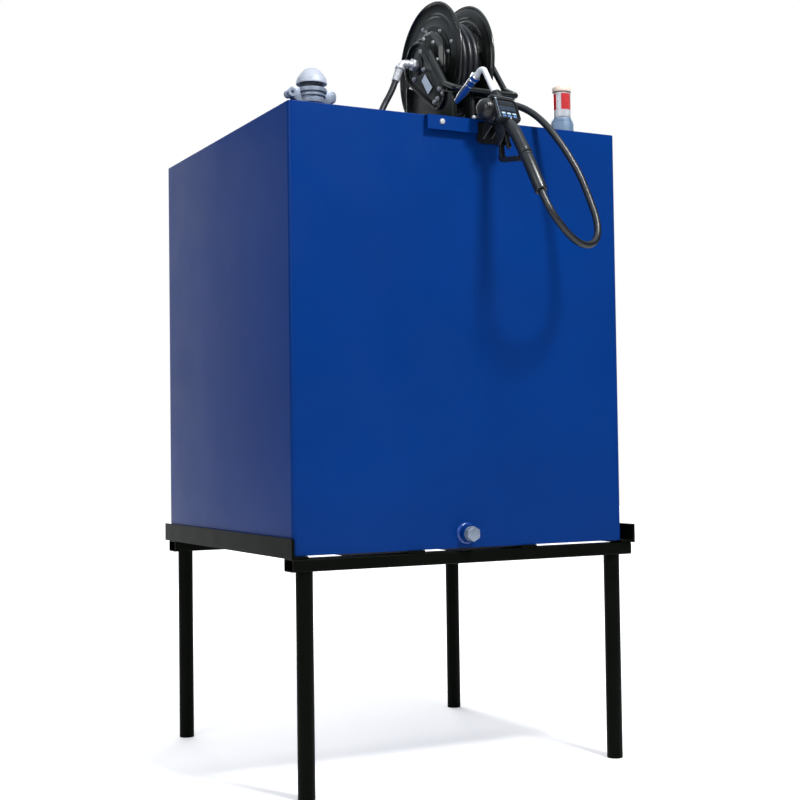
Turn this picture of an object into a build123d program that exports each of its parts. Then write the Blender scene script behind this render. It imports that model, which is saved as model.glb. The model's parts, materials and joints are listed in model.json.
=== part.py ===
from build123d import *
from math import cos, hypot, pi, radians, sin, tan
import os

# Single skin oil tank on a pipe-legged stand, with a hose reel, an oil gun, a vent and a level gauge.
# Millimetres, +Z up. The origin is on the floor, under the middle of the whole outline.

# Tank shell
tank_width = 1050.0
tank_depth = 1005.0
tank_height = 1200.0
wall_sheet = 3.0
corner_radius = 12.0
top_edge_radius = 2.0

# Stand: two side angles and two bearers on two cross beams and four pipe legs
stand_gap_right = 34.0
stand_rear_margin = 27.0
angle_height = 54.0
angle_width = 48.0
angle_thickness = 8.0
angle_toe_radius = 3.0
tank_setback = 8.0
beam_depth = 60.0
beam_height = 34.0
beam_wall = 3.0
beam_corner_radius = 5.0
beam_inset_left = 4.0
beam_inset_right = 14.0
rear_beam_inset = 28.0
bearer_width = 50.0
bearer_depth = 34.0
leg_diameter = 46.0
leg_wall = 3.2
leg_length = 594.0
leg_inset_left = 48.0
leg_inset_right = 65.0

# Drain low on the front
drain_from_left = 521.0
drain_above_base = 40.0
drain_socket_radius = 24.0
drain_bore_radius = 17.0
drain_socket_reach = 24.0
drain_weld_leg = 8.0
plug_across_flats = 38.0
plug_head = 20.0
fit_gap = 0.3

# Fill socket with a quick coupler and a mushroom vent, front left of the top
fill_from_left = 112.0
fill_from_front = 100.0
fill_socket_radius = 35.0
fill_bore_radius = 28.0
fill_socket_height = 14.0
adapter_radius = 30.0
adapter_height = 24.0
coupler_low_radius = 38.5
coupler_top_radius = 42.0
coupler_waist_radius = 34.0
coupler_low_ring = 8.0
coupler_top_ring = 12.5
coupler_height = 24.0
strainer_radius = 30.0
strainer_height = 24.0
dome_radius = 42.5
dome_wall = 3.0
dome_gap = 12.0
dome_steps = [(0.98, 8.0), (0.86, 24.0), (0.64, 36.0), (0.47, 42.0), (0.43, 44.0)]
cam_pin_radius = 4.0
cam_pin_out = 58.0
cam_pin_below_top = 14.0
cam_eye_radius = 11.0
cam_lever_width = 16.0
cam_tip_radius = 8.0
cam_tip = (10.5, -11.5)
cam_tip_hole_radius = 2.5
cam_ear_thickness = 5.0
pull_ring_radius = 11.0
pull_ring_hole_radius = 4.5
pull_ring_thickness = 4.0
pull_ring_at = (0.5, 3.0)
pull_ring_pin_radius = 3.0
pin_running_gap = 0.08
side_running_gap = 0.5

# Level gauge, front right of the top
gauge_from_right = 117.0
gauge_from_front = 100.0
gauge_base_across = 60.0
gauge_base_chamfer = 12.0
gauge_base_height = 54.0
gauge_shoulder_height = 6.0
gauge_turn = 36.0
gauge_tube_radius = 26.5
gauge_tube_wall = 2.5
gauge_tube_height = 79.0
gauge_cap_radius = 28.0
gauge_cap_height = 17.0
gauge_scale_radius = 22.5

# Folded bracket for the oil gun on the front's top edge
bracket_from_left = 408.0
bracket_flange_length = 160.0
bracket_shelf_length = 192.0
bracket_reach = 18.0
bracket_height = 40.0
bracket_sheet = 3.0
bracket_below_top = 2.0

# Hose reel, standing on the top
reel_from_left = 705.0
reel_from_front = 400.0
reel_axis_height = 259.0
disc_radius = 200.0
disc_spacing = 100.0
disc_sheet = 2.0
disc_bead_radius = 4.0
core_radius = 62.0
shaft_radius = 16.0
spring_case_radius = 110.0
spring_case_depth = 24.0
arm_offset = 44.0
arm_sheet = 5.0
arm_rim = 9.0
arm_rim_wall = 5.0
arm_hub_radius = 70.0
arm_toe_radius = 42.0
arm_toe_forward = 134.0
arm_toe_drop = 125.0
pedestal_forward = 230.0
pedestal_back = 60.0
pedestal_front_height = 118.0
pedestal_back_height = 196.0
base_sheet = 6.0
base_margin = 32.0
hose_diameter = 20.0
hose_pack_radius = 143.0
hose_turn_groove = 5.0
hose_turns_wide = 5
hose_under_drum = [(-122.0, 2.0), (-74.0, 0.0), (-20.0, 0.0)]

# Swivel and supply hose on the reel's left
swivel_radius = 15.0
swivel_length = 34.0
elbow_radius = 13.0
elbow_out = 156.0
ferrule_radius = 12.5
ferrule_start = 14.0
ferrule_end = 62.0
ferrule_lean = 21.0
tail_radius = 13.0
tail_flange_radius = 20.0
tail_flange_height = 6.0

# Roller guide in front of the drum, on a bent tube along the arms' front edges
guide_from_front = 180.0
guide_drop = 169.0
guide_width = 116.0
guide_height = 100.0
guide_depth = 46.0
guide_sheet = 5.0
roller_radius = 8.0
roller_gap_wide = 35.0
roller_gap_high = 23.0
roller_layer = 11.0
roller_end_gap = 0.5
guide_bar_radius = 9.0
guide_bar_drop = 124.0
guide_bar_bend = 24.0
guide_bar_start = 0.22
guide_bar_end = 1.04

# Oil gun: its plane is turned and tilted, x along the gun towards the spout, y towards the display
gun_from_left = 620.0
gun_from_front = -102.0
gun_from_top = -11.6
gun_tilt = 30.8
gun_turn = 8.0
grip_length = 125.0
grip_radius = 18.5
grip_waist_radius = 18.0
grip_waist = (-42.0, -3.0)
grip_neck_radius = 14.0
grip_neck = (4.0, -13.0)
meter_radius = 38.0
meter_left = 36.0
meter_right = 30.0
meter_along = 50.0
meter_offset = -26.0
meter_cover_radius = 30.0
meter_cover_depth = 30.0
display_foot = (-10.0, 4.0)
display_head = (62.0, 16.0)
display_hood = (76.0, 6.0)
display_back = -18.0
display_half_width = 40.0
guard_wall = 6.0
guard_half_width = 8.0
guard_bend = 12.0
guard_points = [(20.0, -48.0), (-38.0, -66.0), (-74.0, -86.0), (-106.0, -62.0), (-121.0, -10.0)]
trigger_half_width = 6.0
trigger_line = [(-16.0, -32.0), (-40.0, -38.0), (-68.0, -46.0)]
trigger_bend = 20.0
trigger_thickness = 9.0
trigger_pivot = (-14.0, -30.0)
trigger_eye_radius = 7.0
trigger_pin_radius = 3.0
trigger_ear = 10.0
spout_radius = 8.0
spout_offset = -10.0
spout_start = 104.0
spout_corner = 208.0
spout_bend_radius = 32.0
spout_reach = 36.0
nozzle_radius = 12.5
nozzle_straight = 60.0
nozzle_length = 98.0
nozzle_tip_radius = 8.0
nut_radius = 13.5
nut_length = 16.0
outlet_radius = 16.0
collar_radius = 19.5
collar_length = 6.0
sleeve_radius = 18.0
sleeve_length = 127.0
sleeve_lean = 1.8
hose_lead_length = 50.0
holder_width = 78.0
holder_height = 60.0
holder_sheet = 6.0
saddle_half_width = 16.0
saddle_wall = 6.0
saddle_web = 5.0
saddle_start = -78.0
saddle_end = -38.0
saddle_web_inset = 6.0

# Where things stand, worked out from the sizes above
sleeve_tilt = radians(gun_tilt - sleeve_lean)
gun_foot_reach = (grip_length + collar_length) * sin(radians(gun_tilt)) + sleeve_length * sin(sleeve_tilt)
gun_overhang = gun_foot_reach * cos(radians(gun_turn)) - gun_from_front + sleeve_radius - tank_setback
stand_width = tank_width + 2 * angle_thickness + stand_gap_right
stand_depth = tank_depth + tank_setback + stand_rear_margin
stand_left = -stand_width / 2
stand_right = stand_width / 2
stand_front = (gun_overhang - stand_depth) / 2
stand_rear = stand_front + stand_depth
tank_left = stand_left + angle_thickness
tank_right = tank_left + tank_width
tank_front = stand_front + tank_setback
tank_rear = tank_front + tank_depth
tank_x = (tank_left + tank_right) / 2
tank_y = (tank_front + tank_rear) / 2
beam_bottom = leg_length
beam_top = beam_bottom + beam_height
tank_base = beam_top + angle_thickness
tank_top = tank_base + tank_height
reel_x = tank_left + reel_from_left
reel_y = tank_front + reel_from_front
reel_z = tank_top + reel_axis_height
reel_axis = Axis((reel_x, reel_y, reel_z), (1, 0, 0))
fill_x = tank_left + fill_from_left
fill_y = tank_front + fill_from_front
gauge_x = tank_right - gauge_from_right
gauge_y = tank_front + gauge_from_front
drain_x = tank_left + drain_from_left
drain_z = tank_base + drain_above_base

pieces = {}


def keep(name, part):
    part.label = name
    pieces[name] = part


# The shell: four sheets with folded corners, a floor and a lid
def tank_wall(x_middle, y_middle, x_size, y_size):
    with BuildPart() as wall:
        with BuildSketch(Plane.XY.offset(tank_base + wall_sheet)):
            with Locations((tank_x, tank_y)):
                RectangleRounded(tank_width, tank_depth, corner_radius)
                RectangleRounded(
                    tank_width - 2 * wall_sheet,
                    tank_depth - 2 * wall_sheet,
                    corner_radius - wall_sheet,
                    mode=Mode.SUBTRACT,
                )
            with Locations((x_middle, y_middle)):
                Rectangle(x_size, y_size, mode=Mode.INTERSECT)
        extrude(amount=tank_height - 2 * wall_sheet)
    return wall


side_run = tank_depth - 2 * corner_radius
front_wall = tank_wall(tank_x, tank_front + corner_radius / 2, tank_width, corner_radius)
with BuildPart() as tank_front_wall:
    add(front_wall.part)
    with Locations(Plane((drain_x, tank_front, drain_z), z_dir=(0, -1, 0))):
        Hole(radius=drain_socket_radius + fit_gap, depth=corner_radius)
keep("tank_front_wall", tank_front_wall.part)
rear_wall = tank_wall(tank_x, tank_rear - corner_radius / 2, tank_width, corner_radius)
keep("tank_rear_wall", rear_wall.part)
left_wall = tank_wall(tank_left + corner_radius / 2, tank_y, corner_radius, side_run)
keep("tank_left_wall", left_wall.part)
right_wall = tank_wall(tank_right - corner_radius / 2, tank_y, corner_radius, side_run)
keep("tank_right_wall", right_wall.part)

with BuildPart() as tank_floor:
    with BuildSketch(Plane.XY.offset(tank_base)):
        with Locations((tank_x, tank_y)):
            RectangleRounded(tank_width, tank_depth, corner_radius)
    extrude(amount=wall_sheet)
keep("tank_floor", tank_floor.part)

with BuildPart() as tank_lid:
    with BuildSketch(Plane.XY.offset(tank_top - wall_sheet)):
        with Locations((tank_x, tank_y)):
            RectangleRounded(tank_width, tank_depth, corner_radius)
        with Locations((fill_x, fill_y)):
            Circle(fill_bore_radius, mode=Mode.SUBTRACT)
        with Locations((gauge_x, gauge_y)):
            Circle(gauge_scale_radius, mode=Mode.SUBTRACT)
    extrude(amount=wall_sheet)
    fillet(tank_lid.faces().sort_by(Axis.Z)[-1].outer_wire().edges(), min(top_edge_radius, wall_sheet * 0.8))
keep("tank_lid", tank_lid.part)


# The stand
def angle_iron(outer_x, turn):
    heel = Plane((outer_x, stand_front, beam_top), x_dir=(turn, 0, 0), z_dir=(0, -turn, 0))
    with BuildPart() as angle:
        with BuildSketch(heel) as profile:
            with BuildLine():
                Polyline(
                    (0, 0),
                    (angle_width, 0),
                    (angle_width, angle_thickness),
                    (angle_thickness, angle_thickness),
                    (angle_thickness, angle_height),
                    (0, angle_height),
                    close=True,
                )
            make_face()
            toes = profile.vertices().filter_by(
                lambda v: (abs(v.X - angle_width) < 0.01 and v.Y > angle_thickness / 2)
                or (abs(v.Y - angle_height) < 0.01 and v.X > angle_thickness / 2)
            )
            fillet(toes, angle_toe_radius)
        extrude(amount=-turn * stand_depth)
    return angle


stand_angle_left = angle_iron(stand_left, 1)
keep("stand_angle_left", stand_angle_left.part)
stand_angle_right = angle_iron(stand_right, -1)
keep("stand_angle_right", stand_angle_right.part)

beam_left = stand_left + beam_inset_left
beam_right = stand_right - beam_inset_right
front_beam_y = stand_front + beam_depth / 2
rear_beam_y = stand_rear - rear_beam_inset - beam_depth / 2
beam_middle_z = beam_bottom + beam_height / 2


def cross_beam(y):
    with BuildPart() as beam:
        with BuildSketch(Plane((beam_left, y, beam_middle_z), x_dir=(0, 1, 0), z_dir=(1, 0, 0))):
            RectangleRounded(beam_depth, beam_height, beam_corner_radius)
            RectangleRounded(
                beam_depth - 2 * beam_wall,
                beam_height - 2 * beam_wall,
                beam_corner_radius - beam_wall,
                mode=Mode.SUBTRACT,
            )
        extrude(amount=beam_right - beam_left)
    return beam


cross_beam_front = cross_beam(front_beam_y)
keep("cross_beam_front", cross_beam_front.part)
cross_beam_rear = cross_beam(rear_beam_y)
keep("cross_beam_rear", cross_beam_rear.part)

# Bearers: flats on edge angles, with the downstand cut back between the beams
bearer_pitch = (stand_width - 2 * angle_thickness) / 3
between_beams = rear_beam_y - front_beam_y - beam_depth
for side, place in (("left", -0.5), ("right", 0.5)):
    bearer_x = place * bearer_pitch
    with BuildPart() as bearer:
        with BuildSketch(Plane.XY.offset(beam_top)):
            with Locations((bearer_x, (stand_front + stand_rear) / 2)):
                Rectangle(bearer_width, stand_depth)
        extrude(amount=angle_thickness)
        with BuildSketch(Plane.XY.offset(beam_top)):
            with Locations((bearer_x, (front_beam_y + rear_beam_y) / 2)):
                Rectangle(angle_thickness, between_beams)
        extrude(amount=-bearer_depth)
    keep("stand_bearer_" + side, bearer.part)

leg_places = {
    "front_left": (stand_left + leg_inset_left, front_beam_y),
    "front_right": (stand_right - leg_inset_right, front_beam_y),
    "rear_left": (stand_left + leg_inset_left, rear_beam_y),
    "rear_right": (stand_right - leg_inset_right, rear_beam_y),
}
for corner, place in leg_places.items():
    with BuildPart() as leg:
        with BuildSketch(Plane.XY):
            with Locations(place):
                Circle(leg_diameter / 2)
                Circle(leg_diameter / 2 - leg_wall, mode=Mode.SUBTRACT)
        extrude(amount=leg_length)
    keep("stand_leg_" + corner, leg.part)

# Drain socket and plug
drain_plane = Plane((drain_x, tank_front, drain_z), x_dir=(1, 0, 0), z_dir=(0, -1, 0))
with BuildPart() as drain_socket:
    with BuildSketch(drain_plane.offset(-3 * wall_sheet)):
        Circle(drain_socket_radius)
    extrude(amount=3 * wall_sheet + drain_socket_reach)
    with BuildSketch(drain_plane):
        Circle(drain_socket_radius + drain_weld_leg)
    extrude(amount=drain_weld_leg, taper=44)
    with BuildSketch(drain_plane.offset(-3 * wall_sheet)):
        Circle(drain_bore_radius)
    extrude(amount=3 * wall_sheet + drain_socket_reach, mode=Mode.SUBTRACT)
keep("drain_socket", drain_socket.part)

plug_seat = drain_plane.offset(drain_socket_reach)
with BuildPart() as drain_plug:
    with BuildSketch(plug_seat):
        RegularPolygon(plug_across_flats / 2, 6, major_radius=False)
    extrude(amount=plug_head)
    with BuildSketch(plug_seat.offset(plug_head)):
        Circle(plug_across_flats / 2 * 1.02)
    extrude(amount=-plug_head, taper=-28, mode=Mode.INTERSECT)
    with BuildSketch(plug_seat):
        Circle(drain_bore_radius - fit_gap)
    extrude(amount=-drain_socket_reach)
keep("drain_plug", drain_plug.part)

# Fill socket, coupler and vent
fill_plane = Plane((fill_x, fill_y, tank_top))
with BuildPart() as fill_socket:
    with BuildSketch(fill_plane):
        Circle(fill_socket_radius)
        Circle(fill_bore_radius, mode=Mode.SUBTRACT)
    extrude(amount=fill_socket_height)
    chamfer(fill_socket.faces().sort_by(Axis.Z)[-1].outer_wire().edges(), 1.5)
keep("fill_socket", fill_socket.part)

adapter_base = tank_top + fill_socket_height
coupler_base = adapter_base + adapter_height
coupler_top = coupler_base + coupler_height
with BuildPart() as vent_adapter:
    with BuildSketch(Plane.XY.offset(adapter_base)):
        with Locations((fill_x, fill_y)):
            RegularPolygon(adapter_radius, 8, major_radius=False)
    extrude(amount=adapter_height)
    with BuildSketch(Plane.XY.offset(adapter_base)):
        with Locations((fill_x, fill_y)):
            Circle(fill_bore_radius - fit_gap)
    extrude(amount=-fill_socket_height)
    with BuildSketch(Plane.XY.offset(adapter_base - fill_socket_height)):
        with Locations((fill_x, fill_y)):
            Circle(fill_bore_radius - 4)
    extrude(amount=fill_socket_height + adapter_height, mode=Mode.SUBTRACT)
keep("vent_adapter", vent_adapter.part)

cam_pin_z = coupler_top - cam_pin_below_top
ear_outer = cam_lever_width / 2 + side_running_gap + cam_ear_thickness
cam_root = coupler_waist_radius * 0.9
with BuildPart() as vent_coupler:
    with BuildSketch(Plane((fill_x, fill_y, coupler_base), x_dir=(1, 0, 0), z_dir=(0, -1, 0))):
        with BuildLine():
            Polyline(
                (0, 0),
                (coupler_low_radius - 2, 0),
                (coupler_low_radius, 2),
                (coupler_low_radius, coupler_low_ring - 1),
                (coupler_waist_radius, coupler_low_ring),
                (coupler_waist_radius, coupler_height - coupler_top_ring),
                (coupler_top_radius, coupler_height - coupler_top_ring + 1),
                (coupler_top_radius, coupler_height - 3),
                (coupler_top_radius - 3, coupler_height),
                (0, coupler_height),
                close=True,
            )
        make_face()
    revolve(axis=Axis((fill_x, fill_y, 0), (0, 0, 1)))
    for side in (-1, 1):
        for ear_start in (-ear_outer, ear_outer - cam_ear_thickness):
            with BuildSketch(Plane.XZ.offset(-(fill_y + ear_start + cam_ear_thickness))):
                with Locations((fill_x + side * cam_pin_out, cam_pin_z)):
                    Circle(cam_eye_radius)
                with Locations((fill_x + side * (cam_pin_out + cam_root) / 2, cam_pin_z)):
                    Rectangle(cam_pin_out - cam_root, 2 * cam_eye_radius - 2)
            extrude(amount=cam_ear_thickness)
        with BuildSketch(Plane.XZ.offset(-(fill_y + ear_outer - cam_ear_thickness / 2))):
            with Locations((fill_x + side * cam_pin_out, cam_pin_z)):
                Circle(cam_pin_radius)
        extrude(amount=2 * ear_outer - cam_ear_thickness)
keep("vent_coupler", vent_coupler.part)


def cam_lever(side, has_ring):
    pin = Plane((fill_x + side * cam_pin_out, fill_y, cam_pin_z), x_dir=(side, 0, 0), z_dir=(0, -side, 0))
    with BuildPart() as lever:
        with BuildSketch(pin):
            with Locations((0, 0)):
                Circle(cam_eye_radius)
            with Locations(cam_tip):
                Circle(cam_tip_radius)
            make_hull()
            Circle(cam_pin_radius + pin_running_gap, mode=Mode.SUBTRACT)
            if not has_ring:
                with Locations(cam_tip):
                    Circle(cam_tip_hole_radius, mode=Mode.SUBTRACT)
        extrude(amount=cam_lever_width / 2, both=True)
        # the pull ring is a plate in front of the ear, joined to the lever's tip by a pin
        if has_ring:
            ring_start = side * (ear_outer + side_running_gap)
            with BuildSketch(pin.offset(ring_start)):
                with Locations(pull_ring_at):
                    Circle(pull_ring_radius)
                with Locations(cam_tip):
                    Circle(pull_ring_pin_radius + 2)
                make_hull()
                with Locations(pull_ring_at):
                    Circle(pull_ring_hole_radius, mode=Mode.SUBTRACT)
            extrude(amount=side * pull_ring_thickness)
            with BuildSketch(pin):
                with Locations(cam_tip):
                    Circle(pull_ring_pin_radius)
            extrude(amount=ring_start + side * pull_ring_thickness / 2)
    return lever


keep("cam_lever_left", cam_lever(-1, True).part)
keep("cam_lever_right", cam_lever(1, False).part)

with BuildPart() as vent_strainer:
    with BuildSketch(Plane.XY.offset(coupler_top)):
        with Locations((fill_x, fill_y)):
            Circle(strainer_radius)
    extrude(amount=strainer_height)
keep("vent_strainer", vent_strainer.part)

dome_base = coupler_top + dome_gap
dome_drop = strainer_height - dome_gap
with BuildPart() as vent_dome:
    with BuildSketch(Plane((fill_x, fill_y, dome_base), x_dir=(1, 0, 0), z_dir=(0, -1, 0))):
        with BuildLine():
            Polyline(
                (0, dome_drop),
                (strainer_radius, dome_drop),
                (dome_radius - dome_wall, 0),
                (dome_radius, 0),
                *[(dome_radius * share, height) for share, height in dome_steps],
                (0, dome_steps[-1][1]),
                close=True,
            )
        make_face()
    revolve(axis=Axis((fill_x, fill_y, 0), (0, 0, 1)))
keep("vent_dome", vent_dome.part)

# Level gauge
gauge_plane = Plane((gauge_x, gauge_y, tank_top)).rotated((0, 0, gauge_turn))
gauge_shoulder = tank_top + gauge_base_height
gauge_tube_base = gauge_shoulder + gauge_shoulder_height
gauge_cap_base = gauge_tube_base + gauge_tube_height
with BuildPart() as gauge_base:
    with BuildSketch(gauge_plane) as footprint:
        Rectangle(gauge_base_across, gauge_base_across)
        chamfer(footprint.vertices(), gauge_base_chamfer)
    extrude(amount=gauge_base_height)
    with BuildSketch(gauge_plane.offset(gauge_base_height)):
        Circle(gauge_base_across / 2 - 1)
    extrude(amount=gauge_shoulder_height, taper=40)
keep("gauge_base", gauge_base.part)

with BuildPart() as gauge_tube:
    with BuildSketch(Plane.XY.offset(gauge_tube_base)):
        with Locations((gauge_x, gauge_y)):
            Circle(gauge_tube_radius)
            Circle(gauge_tube_radius - gauge_tube_wall, mode=Mode.SUBTRACT)
    extrude(amount=gauge_tube_height)
keep("gauge_tube", gauge_tube.part)

with BuildPart() as gauge_scale:
    with BuildSketch(Plane.XY.offset(gauge_tube_base)):
        with Locations((gauge_x, gauge_y)):
            Circle(gauge_scale_radius)
    extrude(amount=gauge_tube_height)
keep("gauge_scale", gauge_scale.part)

with BuildPart() as gauge_cap:
    with BuildSketch(Plane.XY.offset(gauge_cap_base)):
        with Locations((gauge_x, gauge_y)):
            Circle(gauge_cap_radius)
    extrude(amount=gauge_cap_height)
    chamfer(gauge_cap.faces().sort_by(Axis.Z)[-1].edges(), gauge_cap_height * 0.2)
keep("gauge_cap", gauge_cap.part)

# Gun bracket: a folded angle along the top edge, its shelf longer than its flange
bracket_left = tank_left + bracket_from_left
bracket_top = tank_top - bracket_below_top
bracket_front = tank_front - bracket_reach
with BuildPart() as gun_bracket:
    with BuildSketch(Plane.XY.offset(bracket_top - bracket_sheet)):
        with Locations((bracket_left + bracket_shelf_length / 2, tank_front - bracket_reach / 2)):
            Rectangle(bracket_shelf_length, bracket_reach)
    extrude(amount=bracket_sheet)
    with BuildSketch(Plane.XZ.offset(-bracket_front)):
        with Locations((bracket_left + bracket_flange_length / 2, bracket_top - bracket_height / 2)):
            Rectangle(bracket_flange_length, bracket_height)
    extrude(amount=-bracket_sheet)
keep("gun_bracket", gun_bracket.part)

# Reel base and arms
base_plane = Plane.XY.offset(tank_top)
arm_inner = disc_spacing / 2 + arm_offset
with BuildPart() as reel_base:
    with BuildSketch(base_plane):
        with Locations((reel_x, reel_y - (pedestal_forward - pedestal_back) / 2)):
            RectangleRounded(2 * (arm_inner + base_margin), pedestal_forward + pedestal_back, 12)
    extrude(amount=base_sheet)
keep("reel_base", reel_base.part)

hub_drop = base_sheet - reel_axis_height


def arm_tangents(inset, hand):
    # points where a straight edge leaves the hub round and meets the toe round
    hub = arm_hub_radius - inset
    toe = arm_toe_radius - inset
    span = hypot(arm_toe_forward, arm_toe_drop)
    along = (-arm_toe_forward / span, -arm_toe_drop / span)
    lean_in = (hub - toe) / span
    rise = (1 - lean_in * lean_in) ** 0.5
    nx = along[0] * lean_in - hand * along[1] * rise
    nz = along[1] * lean_in + hand * along[0] * rise
    return (nx * hub, nz * hub), (-arm_toe_forward + nx * toe, -arm_toe_drop + nz * toe)


def arm_front_edge(outside):
    return arm_tangents(-outside, -1)


def arm_outline(inset):
    front_hub, front_toe = arm_tangents(inset, -1)
    back_hub, back_toe = arm_tangents(inset, 1)
    with BuildSketch() as outline:
        with BuildLine():
            Polyline(front_hub, front_toe, back_toe, back_hub, close=True)
        make_face()
        Circle(arm_hub_radius - inset)
        with Locations((-arm_toe_forward, -arm_toe_drop)):
            Circle(arm_toe_radius - inset)
    return outline.sketch


def reel_arm(side):
    face = Plane((reel_x + side * arm_inner, reel_y, reel_z), x_dir=(0, 1, 0), z_dir=(1, 0, 0))
    with BuildPart() as arm:
        with BuildSketch(face):
            with BuildLine():
                Polyline(
                    (-pedestal_forward, hub_drop),
                    (pedestal_back, hub_drop),
                    (pedestal_back, hub_drop + pedestal_back_height),
                    (0, 0),
                    (-arm_toe_forward, -arm_toe_drop + arm_toe_radius / 2),
                    (-pedestal_forward, hub_drop + pedestal_front_height),
                    close=True,
                )
            make_face()
            add(arm_outline(0))
            Circle(shaft_radius + fit_gap, mode=Mode.SUBTRACT)
        extrude(amount=side * arm_sheet)
        with BuildSketch(face.offset(side * arm_sheet)):
            add(arm_outline(0))
            add(arm_outline(arm_rim_wall), mode=Mode.SUBTRACT)
        extrude(amount=side * arm_rim)
    return arm


keep("reel_arm_left", reel_arm(-1).part)
keep("reel_arm_right", reel_arm(1).part)

# Shaft, drum and hose pack
shaft_half = arm_inner + arm_sheet + 6
disc_half = disc_spacing / 2
with BuildPart() as reel_shaft:
    with BuildSketch(Plane((reel_x - shaft_half, reel_y, reel_z), x_dir=(0, 1, 0), z_dir=(1, 0, 0))):
        Circle(shaft_radius)
    extrude(amount=2 * shaft_half)
keep("reel_shaft", reel_shaft.part)

reel_profile = Plane((reel_x, reel_y, reel_z), x_dir=(1, 0, 0), z_dir=(0, -1, 0))


def reel_disc(side):
    bead = disc_radius - disc_bead_radius
    inner = shaft_radius + pin_running_gap
    with BuildPart() as disc:
        with BuildSketch(reel_profile):
            with Locations((side * (disc_half + disc_sheet / 2), (bead + inner) / 2)):
                Rectangle(disc_sheet, bead - inner)
            with Locations((side * (disc_half + disc_bead_radius), bead)):
                RegularPolygon(disc_bead_radius, 8, major_radius=False, rotation=22.5)
        revolve(axis=reel_axis)
    return disc


keep("reel_disc_left", reel_disc(-1).part)
keep("reel_disc_right", reel_disc(1).part)

with BuildPart() as reel_core:
    with BuildSketch(Plane((reel_x - disc_half, reel_y, reel_z), x_dir=(0, 1, 0), z_dir=(1, 0, 0))):
        Circle(core_radius)
        Circle(shaft_radius + pin_running_gap, mode=Mode.SUBTRACT)
    extrude(amount=disc_spacing)
keep("reel_core", reel_core.part)

turn_pitch = (disc_spacing - 2 * fit_gap) / hose_turns_wide
pack_left = fit_gap - disc_half
pack_line = [(pack_left, core_radius + fit_gap)]
for turn in range(hose_turns_wide):
    turn_start = pack_left + turn * turn_pitch
    pack_line.append((turn_start, hose_pack_radius - hose_turn_groove))
    pack_line.append((turn_start + turn_pitch * 0.28, hose_pack_radius))
    pack_line.append((turn_start + turn_pitch * 0.72, hose_pack_radius))
pack_line.append((-pack_left, hose_pack_radius - hose_turn_groove))
pack_line.append((-pack_left, core_radius + fit_gap))
with BuildPart() as hose_pack:
    with BuildSketch(reel_profile):
        with BuildLine():
            Polyline(*pack_line, close=True)
        make_face()
    revolve(axis=reel_axis)
keep("hose_pack", hose_pack.part)

case_outer = disc_half + disc_sheet + spring_case_depth
with BuildPart() as spring_case:
    with BuildSketch(reel_profile):
        with BuildLine():
            Polyline(
                (-disc_half - disc_sheet, shaft_radius + pin_running_gap),
                (-case_outer, shaft_radius + pin_running_gap),
                (-case_outer, spring_case_radius - 14),
                (-case_outer + 10, spring_case_radius - 4),
                (-disc_half - disc_sheet - 3, spring_case_radius),
                (-disc_half - disc_sheet - 3, spring_case_radius + 14),
                (-disc_half - disc_sheet, spring_case_radius + 14),
                close=True,
            )
        make_face()
    revolve(axis=reel_axis)
keep("spring_case", spring_case.part)

# Swivel, elbow and ferrule of the supply
swivel_face = reel_x - shaft_half
elbow_x = reel_x - elbow_out
lean = radians(ferrule_lean)
ferrule_dir = (-sin(lean), 0, -cos(lean))
ferrule_foot = (
    elbow_x + ferrule_dir[0] * ferrule_start,
    reel_y,
    reel_z + ferrule_dir[2] * ferrule_start,
)
with BuildPart() as reel_swivel:
    with BuildSketch(Plane((swivel_face, reel_y, reel_z), x_dir=(0, 1, 0), z_dir=(-1, 0, 0))):
        RegularPolygon(swivel_radius + 2, 6, major_radius=False)
    extrude(amount=swivel_length / 2)
    with BuildSketch(Plane((swivel_face, reel_y, reel_z), x_dir=(0, 1, 0), z_dir=(-1, 0, 0))):
        Circle(elbow_radius - 2)
    extrude(amount=swivel_face - elbow_x)
    with Locations((elbow_x, reel_y, reel_z)):
        Sphere(elbow_radius)
    with BuildSketch(Plane((elbow_x, reel_y, reel_z), x_dir=(0, 1, 0), z_dir=ferrule_dir)):
        Circle(elbow_radius - 2)
    extrude(amount=ferrule_start)
    with BuildSketch(Plane(ferrule_foot, x_dir=(0, 1, 0), z_dir=ferrule_dir)):
        Circle(ferrule_radius)
    extrude(amount=ferrule_end - ferrule_start)
keep("reel_swivel", reel_swivel.part)


# Hoses: straight runs joined by tangent arcs, as large as the two runs allow
def hose_tube(points, radius):
    runs = [Vector(*b) - Vector(*a) for a, b in zip(points, points[1:])]
    radii = []
    for before, after in zip(runs, runs[1:]):
        turn = radians(before.get_angle(after))
        radii.append(0.45 * min(before.length, after.length) / tan(turn / 2))
    with BuildPart() as tube:
        with BuildLine():
            path = FilletPolyline(*points, radius=radii)
        start = Plane(points[0], z_dir=runs[0])
        with BuildSketch(start):
            Circle(radius)
        sweep(path=path)
    volume_ratio = tube.part.volume / (path.length * pi * radius * radius)
    print("hose length", round(path.length), "volume ratio", round(volume_ratio, 4))
    print("hose radii", [round(r) for r in radii])
    return tube


ferrule_tip = (
    elbow_x + ferrule_dir[0] * ferrule_end,
    reel_y,
    reel_z + ferrule_dir[2] * ferrule_end,
)
supply_steps = [(-14, 1, -26), (-15, 1.5, -27), (-14, -1.5, -28), (-10, -1, -27), (-5, 0, -26)]
supply_lead = 26
supply_points = [
    ferrule_tip,
    (ferrule_tip[0] + ferrule_dir[0] * supply_lead, reel_y, ferrule_tip[2] + ferrule_dir[2] * supply_lead),
]
for step in supply_steps:
    last = supply_points[-1]
    supply_points.append((last[0] + step[0], last[1] + step[1], last[2] + step[2]))
supply_hose = hose_tube(supply_points, hose_diameter / 2)
keep("supply_hose", supply_hose.part)

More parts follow.
